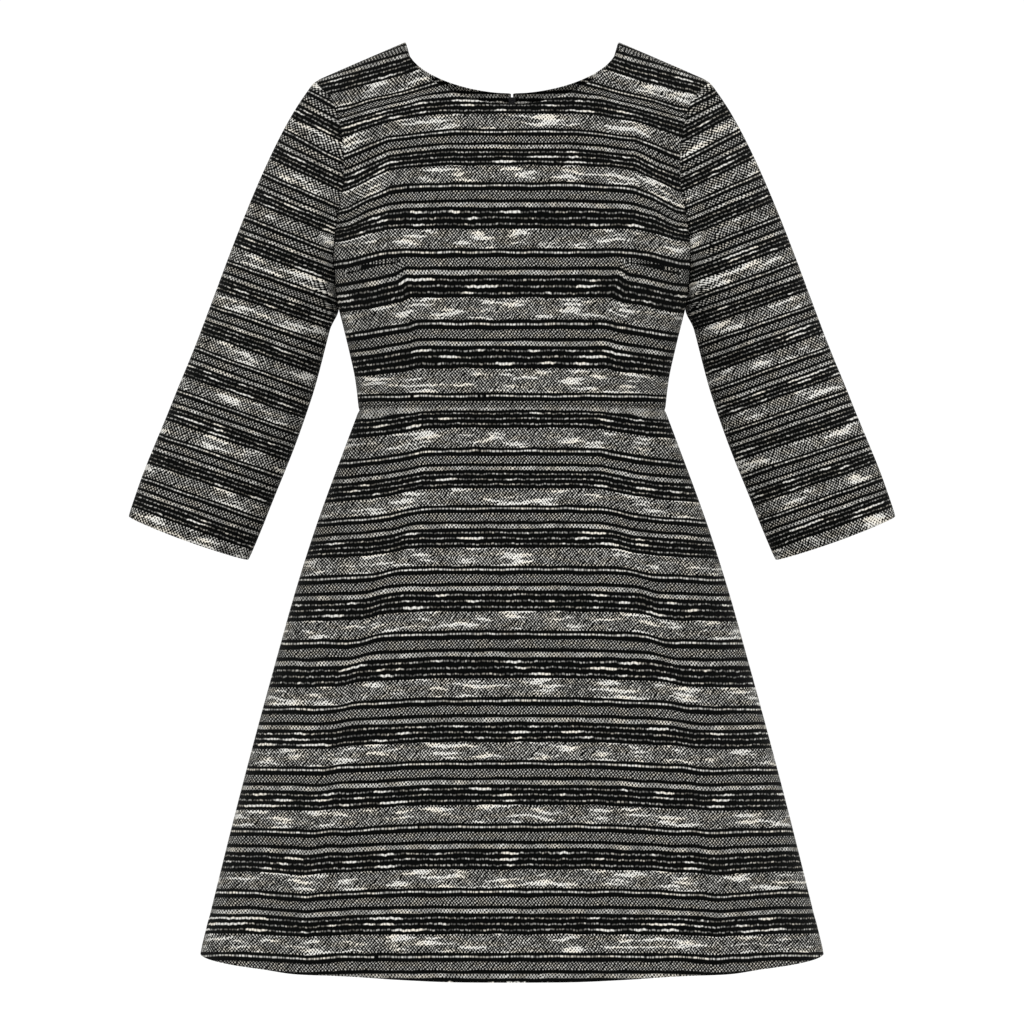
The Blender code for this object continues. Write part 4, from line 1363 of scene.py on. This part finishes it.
@dataclass
class Bodice(BodyPanels):
    """The bodice: a darted front in one piece and two backs."""

    kind: str = "Bodice"
    front_sheet: Sheet = Sheet((0.485, 0.405), 0.1370, "stretched")
    back_sheet: Sheet = Sheet((0.250, 0.400), 0.0690, "stretched")
    neck_columns: int = 46
    shoulder_columns: int = 52
    rows_low: int = 34
    rows_high: int = 96
    edge_roll: float = 0.0006
    roll_width: float = 0.003
    # shares of the width and of the height, closer together towards the edges
    crowding: float = 0.87
    last_row: float = 0.985
    usual_width: float = 0.17
    usual_height: float = 0.22
    # distance from the centre line, to the wearer's left, and height of each crease's two ends,
    # then its rise, width and bend
    darts: tuple[Crease, ...] = creases(
        (1700, -2285, 1060, -2185, -7, 19), (-1700, -2285, -1060, -2185, -7, 19),
        (865, -3580, 980, -2440, -6, 18), (-865, -3580, -980, -2440, -6, 18),
        seam=True,
    )
    front_creases: tuple[Crease, ...] = creases(
        (1640, -2620, 1180, -2440, -13, 60, 20), (-1620, -2740, -1080, -2580, -11, 70, -20),
        (1400, -3430, 960, -3330, -9, 45, 20), (-1420, -3340, -1060, -3290, -8, 50),
        (1560, -1180, 1150, -1560, -10, 80, 40), (-1570, -1340, -1080, -1640, -12, 90, 30),
        (700, -700, 950, -1300, 8, 110), (-820, -640, -1000, -1150, 7, 100),
    )
    back_creases: tuple[Crease, ...] = creases(
        (1600, -2550, 1020, -2250, -12, 70, 30), (-1580, -2640, -960, -2440, -13, 80, 20),
        (1250, -3260, 450, -3380, -10, 60, 30), (-1340, -3160, -620, -3340, -11, 65, -20),
        (1520, -1000, 1180, -1740, -11, 90, 40), (-1500, -1160, -1140, -1780, -10, 95, 30),
        (500, -1150, 760, -2300, 9, 150), (-460, -1300, -700, -2160, 8, 140),
    )

    def half_grid(self, half: Half) -> Array:
        """Lay out the points of half a panel.

        Args:
            half: Front or back.

        Returns:
            The points, rows from the waist up and columns outward.
        """
        form, start = self.form, 0.0 if half is Half.FRONT else self.zip_half_gap
        neck = (form.neck_half - start) / (form.shoulder_half - start)
        close = np.sin(np.linspace(0.0, math.pi / 2, 1400)) ** self.crowding
        parts = (
            (np.concatenate((close[close < neck], [neck])), self.neck_columns, ()),
            (np.concatenate(([neck], close[close > neck])), self.shoulder_columns, SEAM_STEPS),
        )
        low = np.linspace(form.waist_z, form.underarm_z, self.rows_low + 1)
        low = np.concatenate((form.waist_z + FROM_SEAM, low[1:]))
        rise = (1 - np.cos(np.linspace(0.0, math.pi, self.rows_high + 1)[1:-1])) / 2
        by_top = 1 - np.array(SEAM_STEPS) / self.usual_height
        steps = np.concatenate((rise * self.last_row, by_top, [1]))
        by_zip = [0.0] if start == 0.0 else list(FROM_SEAM / self.usual_width)

        def height(shares: Array, row: int) -> Array:
            """Return the heights along one row of the grid."""
            if row < len(low):
                return np.full(len(shares), low[row])
            top = form.top_height(half, shares, start)
            return form.underarm_z + (top - form.underarm_z) * steps[row - len(low)]

        def point(shares: Array, z: Array) -> Array:
            """Return the points at shares of the width and at heights."""
            return form.bodice_point(half, start + (form.side_width(half, z) - start) * shares, z)

        shares, heights = [], []
        for k in range(len(low) + len(steps)):
            row = [by_zip]
            for part, count, near in parts:
                spots = spread_columns(lengths_along(point(part, height(part, k))), count, near)
                row.append(np.interp(spots, np.linspace(0.0, 1.0, len(part)), part)[1:])
            shares.append(np.concatenate(row))
            heights.append(height(shares[-1], k))
        return point(np.array(shares), np.array(heights))

    def carriers(self, part: str) -> list[str]:
        """Return the solids that carry a panel."""
        if part == "front":
            return ["skirt_front", "sleeve_left", "sleeve_right"]
        return [f"skirt_{part}", part.replace("back", "sleeve"), "zip_tape"]

    def panel(self, half: Half, points: Array, side: Side) -> ClothGrid:
        """Make a panel's grid with its seams pressed in and its creases laid on.

        Args:
            half: Front or back.
            points: The plain form's points, on the wearer's left.
            side: The side that a back is made for.

        Returns:
            The grid.
        """
        x, z, neck = points[..., 0], points[..., 2], self.form.neck_half
        flat = [((slice(0, 1), slice(None)), 2)]
        flat += self.flat_edges(half, slice(0, self.rows_low + len(FROM_SEAM)))
        on_shoulder = np.flatnonzero(np.abs(x[-1]) >= neck - 1e-6)
        for part in np.split(on_shoulder, np.flatnonzero(np.diff(on_shoulder) > 1) + 1):
            flat.append(((slice(-1, None), slice(part[0], part[-1] + 1)), 1))
        weave = self.stripes.on_bodice(points, half, self.form)
        grid = ClothGrid(points, False, weave, flat_edges=tuple(flat))
        up = lengths_along(points)
        reach = up[-1][None] - up
        shoulder = smooth(np.abs(x), neck - 0.004, neck + 0.002)
        dip = np.maximum(self.dips(points), shoulder * bell(reach, self.seam_width))
        rise = -self.seam_dip * dip
        rise = rise - self.edge_roll * (1 - shoulder) * bell(reach, self.roll_width)
        laid = self.darts + self.front_creases if half is Half.FRONT else self.back_creases
        return grid.lifted(creased(rise, laid, x * side.value, z, smooth(reach, 0.002, 0.012)))


@dataclass
class Skirt(BodyPanels):
    """The skirt: a front in one piece and two backs, flared to the hem."""

    kind: str = "Skirt"
    front_sheet: Sheet = Sheet((0.800, 0.560), 0.330, "hung")
    back_sheet: Sheet = Sheet((0.410, 0.560), 0.169, "hung")
    zip_end_z: float = -0.500
    zip_taper: float = 0.006
    closed_half_gap: float = 0.00015
    columns: int = 72
    rows: int = 124
    crowding: float = 0.92
    # the turned hem lifts the cloth above it a little
    hem_depth: float = 0.035
    hem_rise: float = 0.0004
    hem_fade: float = 0.004
    front_creases: tuple[Crease, ...] = creases(
        (1240, -3680, 1520, -4700, -13, 70, 30), (-1160, -3700, -1500, -4900, -15, 80, -20),
        (880, -3680, 1000, -4300, -8, 50), (-860, -3680, -960, -4150, -7, 50),
        (560, -5100, 780, -7000, -12, 120, 40), (-740, -4900, -980, -7200, -13, 130, -30),
        (2080, -6300, 2540, -8500, -14, 120, 30), (-2020, -5900, -2600, -8300, -16, 110, 20),
        (180, -6000, 80, -8600, 12, 180), (-1300, -6600, -1540, -8700, 12, 140),
        (1200, -7000, 1320, -8800, -11, 120),
    )
    back_creases: tuple[Crease, ...] = creases(
        (1180, -3680, 1480, -4800, -14, 80, 30), (-1260, -3680, -1500, -4600, -13, 70, -20),
        (700, -4000, 760, -5600, -11, 110), (-600, -4200, -720, -6000, -12, 120, 30),
        (2000, -5800, 2500, -8000, -15, 110, 30), (-1940, -6200, -2520, -8500, -15, 120),
        (300, -6200, 260, -8700, 12, 150), (-1100, -6800, -1300, -8700, -12, 130),
    )

    def half_grid(self, half: Half) -> Array:
        """Lay out the points of half the skirt.

        Args:
            half: Front or back.

        Returns:
            The points, rows from the waist down and columns outward.
        """
        form, shut = self.form, self.closed_half_gap
        even = np.linspace(form.waist_z, form.hem_z, self.rows + 1)
        close = np.sin(np.linspace(0.0, math.pi / 2, 1600)) ** self.crowding
        rows = []
        for z in np.concatenate((form.waist_z - FROM_SEAM, even[1:])):
            start = 0.0
            if half is Half.BACK:
                closing = smooth(np.array(z), self.zip_end_z - self.zip_taper, self.zip_end_z)
                start = shut + (self.zip_half_gap - shut) * float(closing)
            width = float(form.skirt["width"](z))
            level = np.full(len(close), z)
            line = form.skirt_point(half, start + (width - start) * close, level)
            spots = spread_columns(lengths_along(line), self.columns, SEAM_STEPS)
            shares = np.interp(spots, np.linspace(0.0, 1.0, len(close)), close)
            if half is Half.BACK:
                shares = np.concatenate((shares[:1], FROM_SEAM[1:] / width, shares[1:]))
            x = start + (width - start) * shares
            rows.append(form.skirt_point(half, x, np.full(len(x), z)))
        return np.array(rows)

    def carriers(self, part: str) -> list[str]:
        """Return the solid that carries a panel."""
        return [f"bodice_{part}"]

    def panel(self, half: Half, points: Array, side: Side) -> ClothGrid:
        """Make a panel's grid with its seams pressed in, its hem turned and its creases.

        Args:
            half: Front or back.
            points: The plain form's points, on the wearer's left.
            side: The side that a back is made for.

        Returns:
            The grid.
        """
        flat = [((rows, slice(None)), 2) for rows in (slice(0, 1), slice(-1, None))]
        flat += self.flat_edges(half, slice(None))
        weave = self.stripes.on_skirt(points, half)
        grid = ClothGrid(points, False, weave, flat_edges=tuple(flat))
        down = lengths_along(points)
        reach = down[-1][None] - down
        above = smooth(reach, self.hem_depth - self.hem_fade, self.hem_depth + self.hem_fade)
        rise = -self.seam_dip * self.dips(points) + self.hem_rise * (1 - above)
        rise = rise - self.hem_dip * bell(reach, self.hem_width)
        laid = self.front_creases if half is Half.FRONT else self.back_creases
        return grid.lifted(creased(rise, laid, points[..., 0] * side.value, points[..., 2]))


@dataclass
class Sleeves(Tailored):
    """The two set-in sleeves, each one piece of cloth sewn to itself under the arm."""

    arm: ArmForm = ArmForm()
    sheet: Sheet = Sheet((0.385, 0.470), 0.1340, "hung")
    seam_dip: float = 0.0005
    columns: int = 124
    cap_rows: int = 44
    arm_rows: int = 62
    girth: float = 0.36
    armhole_gap: float = 0.0002
    cap_crowding: float = 1.15
    first_steps: tuple[float, ...] = (0.0, 0.005, 0.011, 0.020)
    # the seam allowance inside the sleeve's head lifts it a little
    ridge_rise: float = 0.0004
    ridge_down: float = 0.007
    ridge_width: float = 0.006
    underarm_radius: float = 0.058
    # distance round the arm from the underarm by the front, below 0 on the right sleeve, and
    # distance down it from the upper arm, of each crease's two ends
    creases: tuple[Crease, ...] = creases(
        (300, -300, 850, 150, -14, 80, 30), (150, 760, 900, 1060, -15, 65, 30),
        (200, 1120, 820, 1240, -12, 60), (1150, 300, 1350, 1300, 9, 130),
        (3450, 700, 2700, 1000, -14, 70, 30), (3300, -400, 2750, 150, -13, 80),
        (-280, -200, -900, 300, -15, 80, -30), (-180, 900, -860, 1080, -14, 70, -30),
        (-220, 1260, -760, 1480, -11, 60), (-1200, 500, -1300, 1600, 9, 120),
        (-3400, 850, -2760, 1040, -13, 70), (-3350, -300, -2700, 300, -13, 80),
    )

    def armhole(self, bodice: Bodice) -> Array:
        """Return the armhole seam, from the underarm up the front and down the back."""
        first = bodice.rows_low + len(SEAM_STEPS)
        halves = []
        for edge, order in ((bodice.front_edge, 1), (bodice.back_edge, -1)):
            line = edge[first:].copy()[::order]
            line[0, 1] = line[-1, 1] = 0.0
            reach = lengths_along(line)
            wanted = np.linspace(0.0, reach[-1], self.columns // 2 + 1)[:-1]
            halves.append(np.stack([np.interp(wanted, reach, line[:, k]) for k in range(3)], -1))
        return np.concatenate(halves)

    def grid(self, bodice: Bodice, side: Side) -> ClothGrid:
        """Make a sleeve's grid on the wearer's left, rows from the armhole to the cuff.

        Args:
            bodice: The bodice that it is set into.
            side: The side that it is made for.

        Returns:
            The grid.
        """
        arm, turns = self.arm, np.linspace(0.0, 2 * math.pi, self.columns + 1)[:-1]
        upper, out = arm.ring(0.0, turns), arm.leaving(turns)
        starts = self.armhole(bodice) + out * self.armhole_gap
        span = np.linalg.norm(upper - starts, axis=1, keepdims=True)
        pull = 1 - arm.cap_slack * (1 - np.cos(turns))[:, None] / 2
        steps = (np.arange(self.cap_rows) / self.cap_rows) ** self.cap_crowding
        rows = [
            starts * (1 + 2 * s) * (1 - s) ** 2
            + out * span * pull * s * (1 - s) ** 2
            + upper * s * s * (3 - 2 * s)
            + arm.axis * span * s * s * (s - 1)
            for s in (*self.first_steps, *steps[2:])
        ]
        rows += [arm.ring(float(s), turns) for s in np.linspace(0.0, 1.0, self.arm_rows + 1)]
        points = np.array(rows)
        grid = ClothGrid(points, True, self.stripes.on_sleeve(points, arm))
        down = lengths_along(points)
        rise = -self.seam_dip * bell(down, self.seam_width)
        rise = rise + self.ridge_rise * bell(down - self.ridge_down, self.ridge_width)
        under = np.minimum(turns, 2 * math.pi - turns) * self.underarm_radius
        rise = rise - self.seam_dip * bell(under, self.seam_width)[None]
        rise = rise - self.hem_dip * bell(down[-1][None] - down, self.hem_width)
        along = (points - np.array((arm.biceps_x, 0.0, arm.biceps_z))) @ arm.axis
        around = np.broadcast_to(turns / (2 * math.pi), along.shape) * self.girth * side.value
        return grid.lifted(creased(rise, self.creases, around, along, smooth(down, 0.004, 0.020)))

    def build(self, bodice: Bodice) -> list[bpy.types.Object]:
        """Build both sleeves, set into a bodice that is built."""
        made = []
        for side in Side:
            hand = side.name.lower()
            rests_on = ["bodice_front", f"bodice_back_{hand}"]
            made.append(
                self.add(f"Sleeve_{hand}", self.grid(bodice, side), side, self.sheet, rests_on)
            )
        return made


class HardPart:
    """A small hard part made of bevelled plates, rings and pins round one place."""

    def __init__(self, place: Matrix) -> None:
        """Start with no shape.

        Args:
            place: X across the seam, Y out of the cloth and Z up the seam.
        """
        self.place = place
        self.points: list[tuple[float, ...]] = []
        self.faces: list[tuple[int, ...]] = []

    def _take(self, shape: bmesh.types.BMesh) -> None:
        """Add a finished shape and free it."""
        bmesh.ops.recalc_face_normals(shape, faces=shape.faces[:])
        shape.verts.index_update()
        base = len(self.points)
        self.points += [tuple(self.place @ v.co) for v in shape.verts]
        self.faces += [tuple(base + v.index for v in face.verts) for face in shape.faces]
        shape.free()

    def plate(
        self,
        outline: Sequence[tuple[float, float]],
        low: float,
        high: float,
        bevel: float,
        upright: bool = False,
        rim: float = 0.0,
    ) -> None:
        """Add a plate with rounded edges.

        Args:
            outline: Its corners, as across and up, or as out and up where it is upright.
            low: Where it starts, out of the cloth, or across where it is upright.
            high: Where it ends.
            bevel: Width of its rounded edges.
            upright: Whether it stands on the cloth.
            rim: Width of a raised rim round both faces, if it has one.
        """
        shape = bmesh.new()
        corners = [(low, u, v) if upright else (u, low, v) for u, v in outline]
        verts = [shape.verts.new(corner) for corner in corners]
        base = shape.faces.new(verts)
        moved = bmesh.ops.extrude_face_region(shape, geom=[base])["geom"]
        step = (high - low, 0.0, 0.0) if upright else (0.0, high - low, 0.0)
        tops = [v for v in moved if isinstance(v, bmesh.types.BMVert)]
        bmesh.ops.translate(shape, verts=tops, vec=step)
        big = sorted(shape.faces, key=lambda face: face.calc_area())[-2:]
        edges = list(dict.fromkeys(edge for face in big for edge in face.edges))
        bmesh.ops.bevel(shape, geom=edges, offset=bevel, segments=2, affect="EDGES")
        if rim:
            bmesh.ops.recalc_face_normals(shape, faces=shape.faces[:])
            big = sorted(shape.faces, key=lambda face: face.calc_area())[-2:]
            bmesh.ops.inset_individual(shape, faces=big, thickness=rim, depth=0.0)
            bmesh.ops.inset_individual(shape, faces=big, thickness=rim * 0.3, depth=-rim * 0.35)
        self._take(shape)

    def ring(
        self, outer: float, inner: float, half: float, out: float = 0.0, up: float = 0.0
    ) -> None:
        """Add a ring, or with no hole a pin, that lies along X.

        Args:
            outer: Its radius.
            inner: Radius of its hole.
            half: Half its width.
            out: Its middle's distance out of the cloth.
            up: Its middle's distance up the seam.
        """
        round_off = (outer - inner) * 0.22
        section = [
            (inner, half - round_off), (inner + round_off, half), (outer - round_off, half),
            (outer, half - round_off), (outer, round_off - half), (outer - round_off, -half),
            (inner + round_off, -half), (inner, round_off - half),
        ]
        count, wide = 28, len(section)
        shape = bmesh.new()
        verts = []
        for k in range(count):
            turn = 2 * math.pi * k / count
            for radius, across in section:
                spot = (across, out + radius * math.cos(turn), up + radius * math.sin(turn))
                verts.append(shape.verts.new(spot))
        for k in range(count):
            for n in range(wide):
                a, b = k * wide + n, k * wide + (n + 1) % wide
                c, d = (b + wide) % len(verts), (a + wide) % len(verts)
                shape.faces.new((verts[a], verts[b], verts[c], verts[d]))
        self._take(shape)

    def piece(self, name: str, finish: bpy.types.Material) -> bpy.types.Object:
        """Return the part as one finished piece."""
        mesh = smooth_mesh(name, self.points, self.faces)
        mesh.set_sharp_from_angle(angle=math.radians(32))
        mesh.update()
        return add_piece(name, mesh, finish)


@dataclass
class Zip:
    """The centre-back zip: tape, coil, slider and the pull that turns on it."""

    form: DressForm
    cloth: bpy.types.Material
    metal: bpy.types.Material
    top_z: float = -0.0425
    end_z: float = -0.5000
    tape_behind: float = 0.0026
    tape_wall: float = 0.0006
    tape_step: float = 0.0016
    tape_lines: int = 31
    rib_rise: float = 0.00005
    edge_rise: float = 0.0001
    # height and half width of the tape, folded in at its top
    tape_rows: Rows = ((-0.0425, 0.0030), (-0.0495, 0.0032), (-0.0560, 0.0110), (-0.5000, 0.0110))
    coil_behind: float = 0.0014
    coil_half: float = 0.0011
    coil_depth: float = 0.0006
    coil_pitch: float = 0.0012
    wire: float = 0.00022
    wire_sides: int = 5
    steps_a_turn: int = 12
    slider_z: float = -0.058
    # the pin's middle, where the pull turns, and its place on the slider
    hinge: tuple[float, float, float] = (0.0, 0.08253, -0.0544)
    pin_up: float = 0.0020
    pin_out: float = 0.0041
    pull_lean: float = math.radians(6.0)
    # where the slider's body and crown start and end out of the cloth, and the crown's share
    body: tuple[float, float] = (0.0004, 0.0018)
    crown: tuple[float, float] = (0.0016, 0.0023)
    crown_share: tuple[float, float] = (0.62, 0.80)
    slider_bevel: float = 0.00025
    # the two lugs that hold the pin: where they stand across and out, and round the pin
    lug_across: tuple[float, float] = (0.00150, 0.00235)
    lug_foot: float = 0.0016
    lug_half: float = 0.0013
    lug_past_pin: float = 0.0009
    lug_bevel: float = 0.00015
    # outer radius, hole and half width of the pin, of the collar on it and of the pull's eye
    pin: tuple[float, float, float] = (0.0005, 0.00003, 0.00250)
    collar: tuple[float, float, float] = (0.0007, 0.00003, 0.00012)
    eye: tuple[float, float, float] = (0.0014, 0.0008, 0.0012)
    pull_half: float = 0.0005
    pull_bevel: float = 0.00016
    pull_rim: float = 0.0005
    # across and up the seam, right half of the slider's outline from its neck end down
    slider_outline: Rows = (
        (0.0000, 0.0046), (0.0017, 0.0045), (0.0026, 0.0039), (0.0029, 0.0027), (0.0027, 0.0006),
        (0.0024, -0.0018), (0.0022, -0.0036), (0.0016, -0.0045), (0.0000, -0.0046),
    )
    # half width of the pull and distance below its pin
    pull_outline: Rows = (
        (0.00108, 0.0010), (0.00108, 0.0055), (0.0015, 0.0082), (0.0022, 0.0112), (0.0028, 0.0142),
        (0.0030, 0.0168), (0.0027, 0.0184), (0.0020, 0.0194), (0.0010, 0.01995), (0.0, 0.0200),
    )

    def surface(self, x: Array, z: Array) -> Array:
        """Return points of the dress's outer surface at the back, bodice and skirt."""
        upper = self.form.bodice_point(Half.BACK, x, z)
        lower = self.form.skirt_point(Half.BACK, x, z)
        return np.where((z > self.form.waist_z)[..., None], upper, lower)

    def tape(self) -> bpy.types.Object:
        """Build the tape: a woven ribbon behind the slot, ribbed along its length."""
        z = np.arange(self.top_z, self.end_z, -self.tape_step)
        half = Curve.through(self.tape_rows)(z)
        across = np.linspace(-1.0, 1.0, self.tape_lines)
        x, z = half[:, None] * across, np.repeat(z[:, None], self.tape_lines, axis=1)
        weave = WeavePlaces(-z / 0.01, -z, x)
        grid = ClothGrid(self.surface(x, z), False, weave, wall=self.tape_wall)
        ribs = self.rib_rise * np.where(np.arange(self.tape_lines) % 2 == 0, 1.0, -1.0)
        edge = self.edge_rise * smooth(np.abs(across), 0.90, 0.98)
        grid = grid.lifted(np.broadcast_to(ribs + edge - self.tape_behind, x.shape))
        return add_piece("Zip_tape_ribbon", grid.mesh("Zip_tape", False), self.cloth)

    def coil(self) -> bpy.types.Object:
        """Build the closed coil: one wire wound in flat loops down the slot.

        Returns:
            The piece.
        """
        z = np.linspace(self.top_z - 0.001, self.end_z + 0.002, 600)
        line = self.surface(np.zeros_like(z), z)
        run = lengths_along(line)
        loops = int(run[-1] / self.coil_pitch)
        s = np.linspace(0.0, run[-1], loops * self.steps_a_turn + 1)
        centre = np.stack([np.interp(s, run, line[:, k]) for k in range(3)], axis=-1)
        down = unit(np.gradient(centre, axis=0))
        side = np.array((1.0, 0.0, 0.0))
        out = np.cross(down, side)
        out *= np.where(out[:, 1:2] > 0, 1.0, -1.0)
        angle = (2 * math.pi * s / self.coil_pitch)[:, None]
        wire = centre - out * self.coil_behind
        wire = wire + side * self.coil_half * np.cos(angle) + out * self.coil_depth * np.sin(angle)
        ahead = unit(np.gradient(wire, axis=0))
        first = unit(np.cross(ahead, down))
        second = np.cross(ahead, first)
        sides = self.wire_sides
        turns = [2 * math.pi * k / sides for k in range(sides)]
        rings = [wire + self.wire * (first * math.cos(t) + second * math.sin(t)) for t in turns]
        points = np.stack(rings, axis=1).reshape(-1, 3)
        i, j = np.meshgrid(np.arange(len(s) - 1), np.arange(sides), indexing="ij")
        a, b = i * sides + j, i * sides + (j + 1) % sides
        faces = np.stack((a, a + sides, b + sides, b), axis=-1).reshape(-1, 4).tolist()
        last = (len(s) - 1) * sides
        faces += [list(range(sides)), [last + k for k in range(sides)][::-1]]
        mesh = smooth_mesh("Zip_coil", points.tolist(), faces)
        return add_piece("Zip_coil_loops", mesh, self.metal)

    def seam_place(self) -> Matrix:
        """Return the slider's place: X across, Y out of the cloth and Z up the seam."""
        z = np.array((self.slider_z - 0.002, self.slider_z + 0.002))
        below, above = self.surface(np.zeros(2), z)
        up = unit(above - below)
        out = np.array((0.0, up[2], -up[1]))
        place = Matrix.Identity(4)
        place.col[1] = (*out, 0.0)
        place.col[2] = (*up, 0.0)
        place.col[3] = (*(self.hinge - out * self.pin_out - up * self.pin_up), 1.0)
        return place

    def slider(self) -> bpy.types.Object:
        """Build the slider: body, raised crown, two lugs and the pin between them.

        Returns:
            The piece.
        """
        part = HardPart(self.seam_place())
        right = list(self.slider_outline)
        outline = right + [(-x, up) for x, up in reversed(right[1:-1])]
        wide, tall = self.crown_share
        part.plate(outline, *self.body, self.slider_bevel)
        part.plate([(x * wide, up * tall) for x, up in outline], *self.crown, self.slider_bevel)
        low, high = self.pin_up - self.lug_half, self.pin_up + self.lug_half
        foot, reach = self.lug_foot, self.pin_out + self.lug_past_pin
        lug = [
            (foot, low), (self.pin_out, low), (reach - 0.0002, low + 0.0006), (reach, self.pin_up),
            (reach - 0.0002, high - 0.0006), (self.pin_out, high), (foot, high + 0.0004),
        ]
        for side in (-1, 1):
            near, far = sorted(side * across for across in self.lug_across)
            part.plate(lug, near, far, self.lug_bevel, upright=True)
        for sizes in (self.pin, self.collar):
            part.ring(*sizes, self.pin_out, self.pin_up)
        return part.piece("Zip_slider_body", self.metal)

    def pull(self) -> bpy.types.Object:
        """Build the pull: a rimmed tab that hangs from an eye on the slider's pin."""
        place = self.seam_place() @ Matrix.Translation((0.0, self.pin_out, self.pin_up))
        part = HardPart(place @ Matrix.Rotation(-self.pull_lean, 4, "X"))
        right = [(x, -down) for x, down in self.pull_outline]
        outline = right + [(-x, up) for x, up in reversed(right[:-1])]
        part.plate(outline, -self.pull_half, self.pull_half, self.pull_bevel, rim=self.pull_rim)
        part.ring(*self.eye)
        return part.piece("Zip_pull_tab", self.metal)

    def build(self) -> list[bpy.types.Object]:
        """Build the zip's four pieces."""
        tape, coil, slider, pull = self.tape(), self.coil(), self.slider(), self.pull()
        for piece, node in ((tape, "zip_tape"), (slider, "zip_slider"), (pull, "zip_pull")):
            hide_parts(node)
        for piece in (tape, coil, slider):
            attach(piece, "dress")
        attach(pull, "pull")
        return [tape, coil, slider, pull]


@dataclass(frozen=True)
class Studio:
    """A pale floor, soft light and a camera that sees the dress as the photograph does."""

    eye_distance: float = 3.1
    eye_z: float = -0.457
    field_width: float = 0.9984
    sensor: float = 36.0
    floor_z: float = -1.42
    floor_radius: float = 45.0
    floor_corners: int = 96
    sky: float = 1.05
    middle: tuple[float, float, float] = (0.0, 0.0, -0.45)
    # name, place, side and power in watts of each square soft light
    lamps: tuple[tuple, ...] = (
        ("Key_light", (-0.5, -2.8, 0.7), 1.6, 14.0),
        ("Fill_light", (0.7, -2.7, 0.1), 1.6, 8.0),
        ("Back_light", (0.6, 2.6, 1.4), 2.4, 12.0),
    )

    def build(self) -> None:
        """Set up the floor, the lights and the camera."""
        scene = bpy.context.scene
        scene.view_settings.view_transform = "Standard"
        data = bpy.data.cameras.new("Front_camera")
        data.sensor_width = self.sensor
        data.lens = self.sensor * self.eye_distance / self.field_width
        data.clip_end = 100.0
        camera = bpy.data.objects.new("Front_camera", data)
        camera.location = (0.0, -self.eye_distance, self.eye_z)
        camera.rotation_euler = (math.pi / 2, 0.0, 0.0)
        scene.collection.objects.link(camera)
        scene.camera = camera
        self._floor()
        self._world()
        for lamp in self.lamps:
            self._lamp(*lamp)

    def _floor(self) -> None:
        """Lay the floor as a wide round disc."""
        count = self.floor_corners
        turns = [2 * math.pi * k / count for k in range(count)]
        ring = [(self.floor_radius * math.cos(t), self.floor_radius * math.sin(t)) for t in turns]
        mesh = bpy.data.meshes.new("Floor")
        mesh.from_pydata([(x, y, self.floor_z) for x, y in ring], [], [tuple(range(count))])
        add_piece("Floor", mesh, PaleFloor().build())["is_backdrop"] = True

    def _world(self) -> None:
        """Light the whole studio softly from all round."""
        world = bpy.data.worlds.new("Studio")
        world.use_nodes = True
        sky = world.node_tree.nodes["Background"]
        sky.inputs["Color"].default_value = (1.0, 1.0, 1.0, 1.0)
        sky.inputs["Strength"].default_value = self.sky
        bpy.context.scene.world = world

    def _lamp(self, name: str, place: tuple[float, ...], size: float, power: float) -> None:
        """Hang one square soft light, turned to the middle of the dress.

        Args:
            name: Its name.
            place: Where it hangs.
            size: Its side.
            power: Its power in watts.
        """
        data = bpy.data.lights.new(name, "AREA")
        data.size, data.energy = size, power
        lamp = bpy.data.objects.new(name, data)
        aim = unit(np.array(self.middle) - np.array(place))
        side = unit(np.cross(aim, (0.0, 0.0, 1.0)))
        up = np.cross(side, aim)
        turn = Matrix(np.stack((side, up, -aim), axis=1).tolist()).to_4x4()
        lamp.matrix_world = Matrix.Translation(place) @ turn
        bpy.context.scene.collection.objects.link(lamp)


def corners(box: tuple) -> list[list[float]]:
    """Return a box's two corners as plain lists of numbers."""
    return [[float(v) for v in corner] for corner in box]


def main() -> None:
    """Dress the model piece by piece and set up the studio."""
    logging.basicConfig(level=logging.INFO, format="%(name)s: %(message)s")
    solid_box = corners(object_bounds())
    form, stripes = DressForm(), StripeLayout()
    tweed = Tweed().build()
    bodice = Bodice(form, stripes, tweed)
    skirt = Skirt(form, stripes, tweed)
    sleeves = Sleeves(form, stripes, tweed)
    closure = Zip(form, ZipCloth().build(), Enamel().build())
    made = bodice.build() + skirt.build() + sleeves.build(bodice) + closure.build()
    for piece in made:
        LOG.info("%s: %d faces", piece.name, len(piece.data.polygons))
    Studio().build()
    {"solid": solid_box, "visual": corners(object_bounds())}


if __name__ == "__main__":
    main()
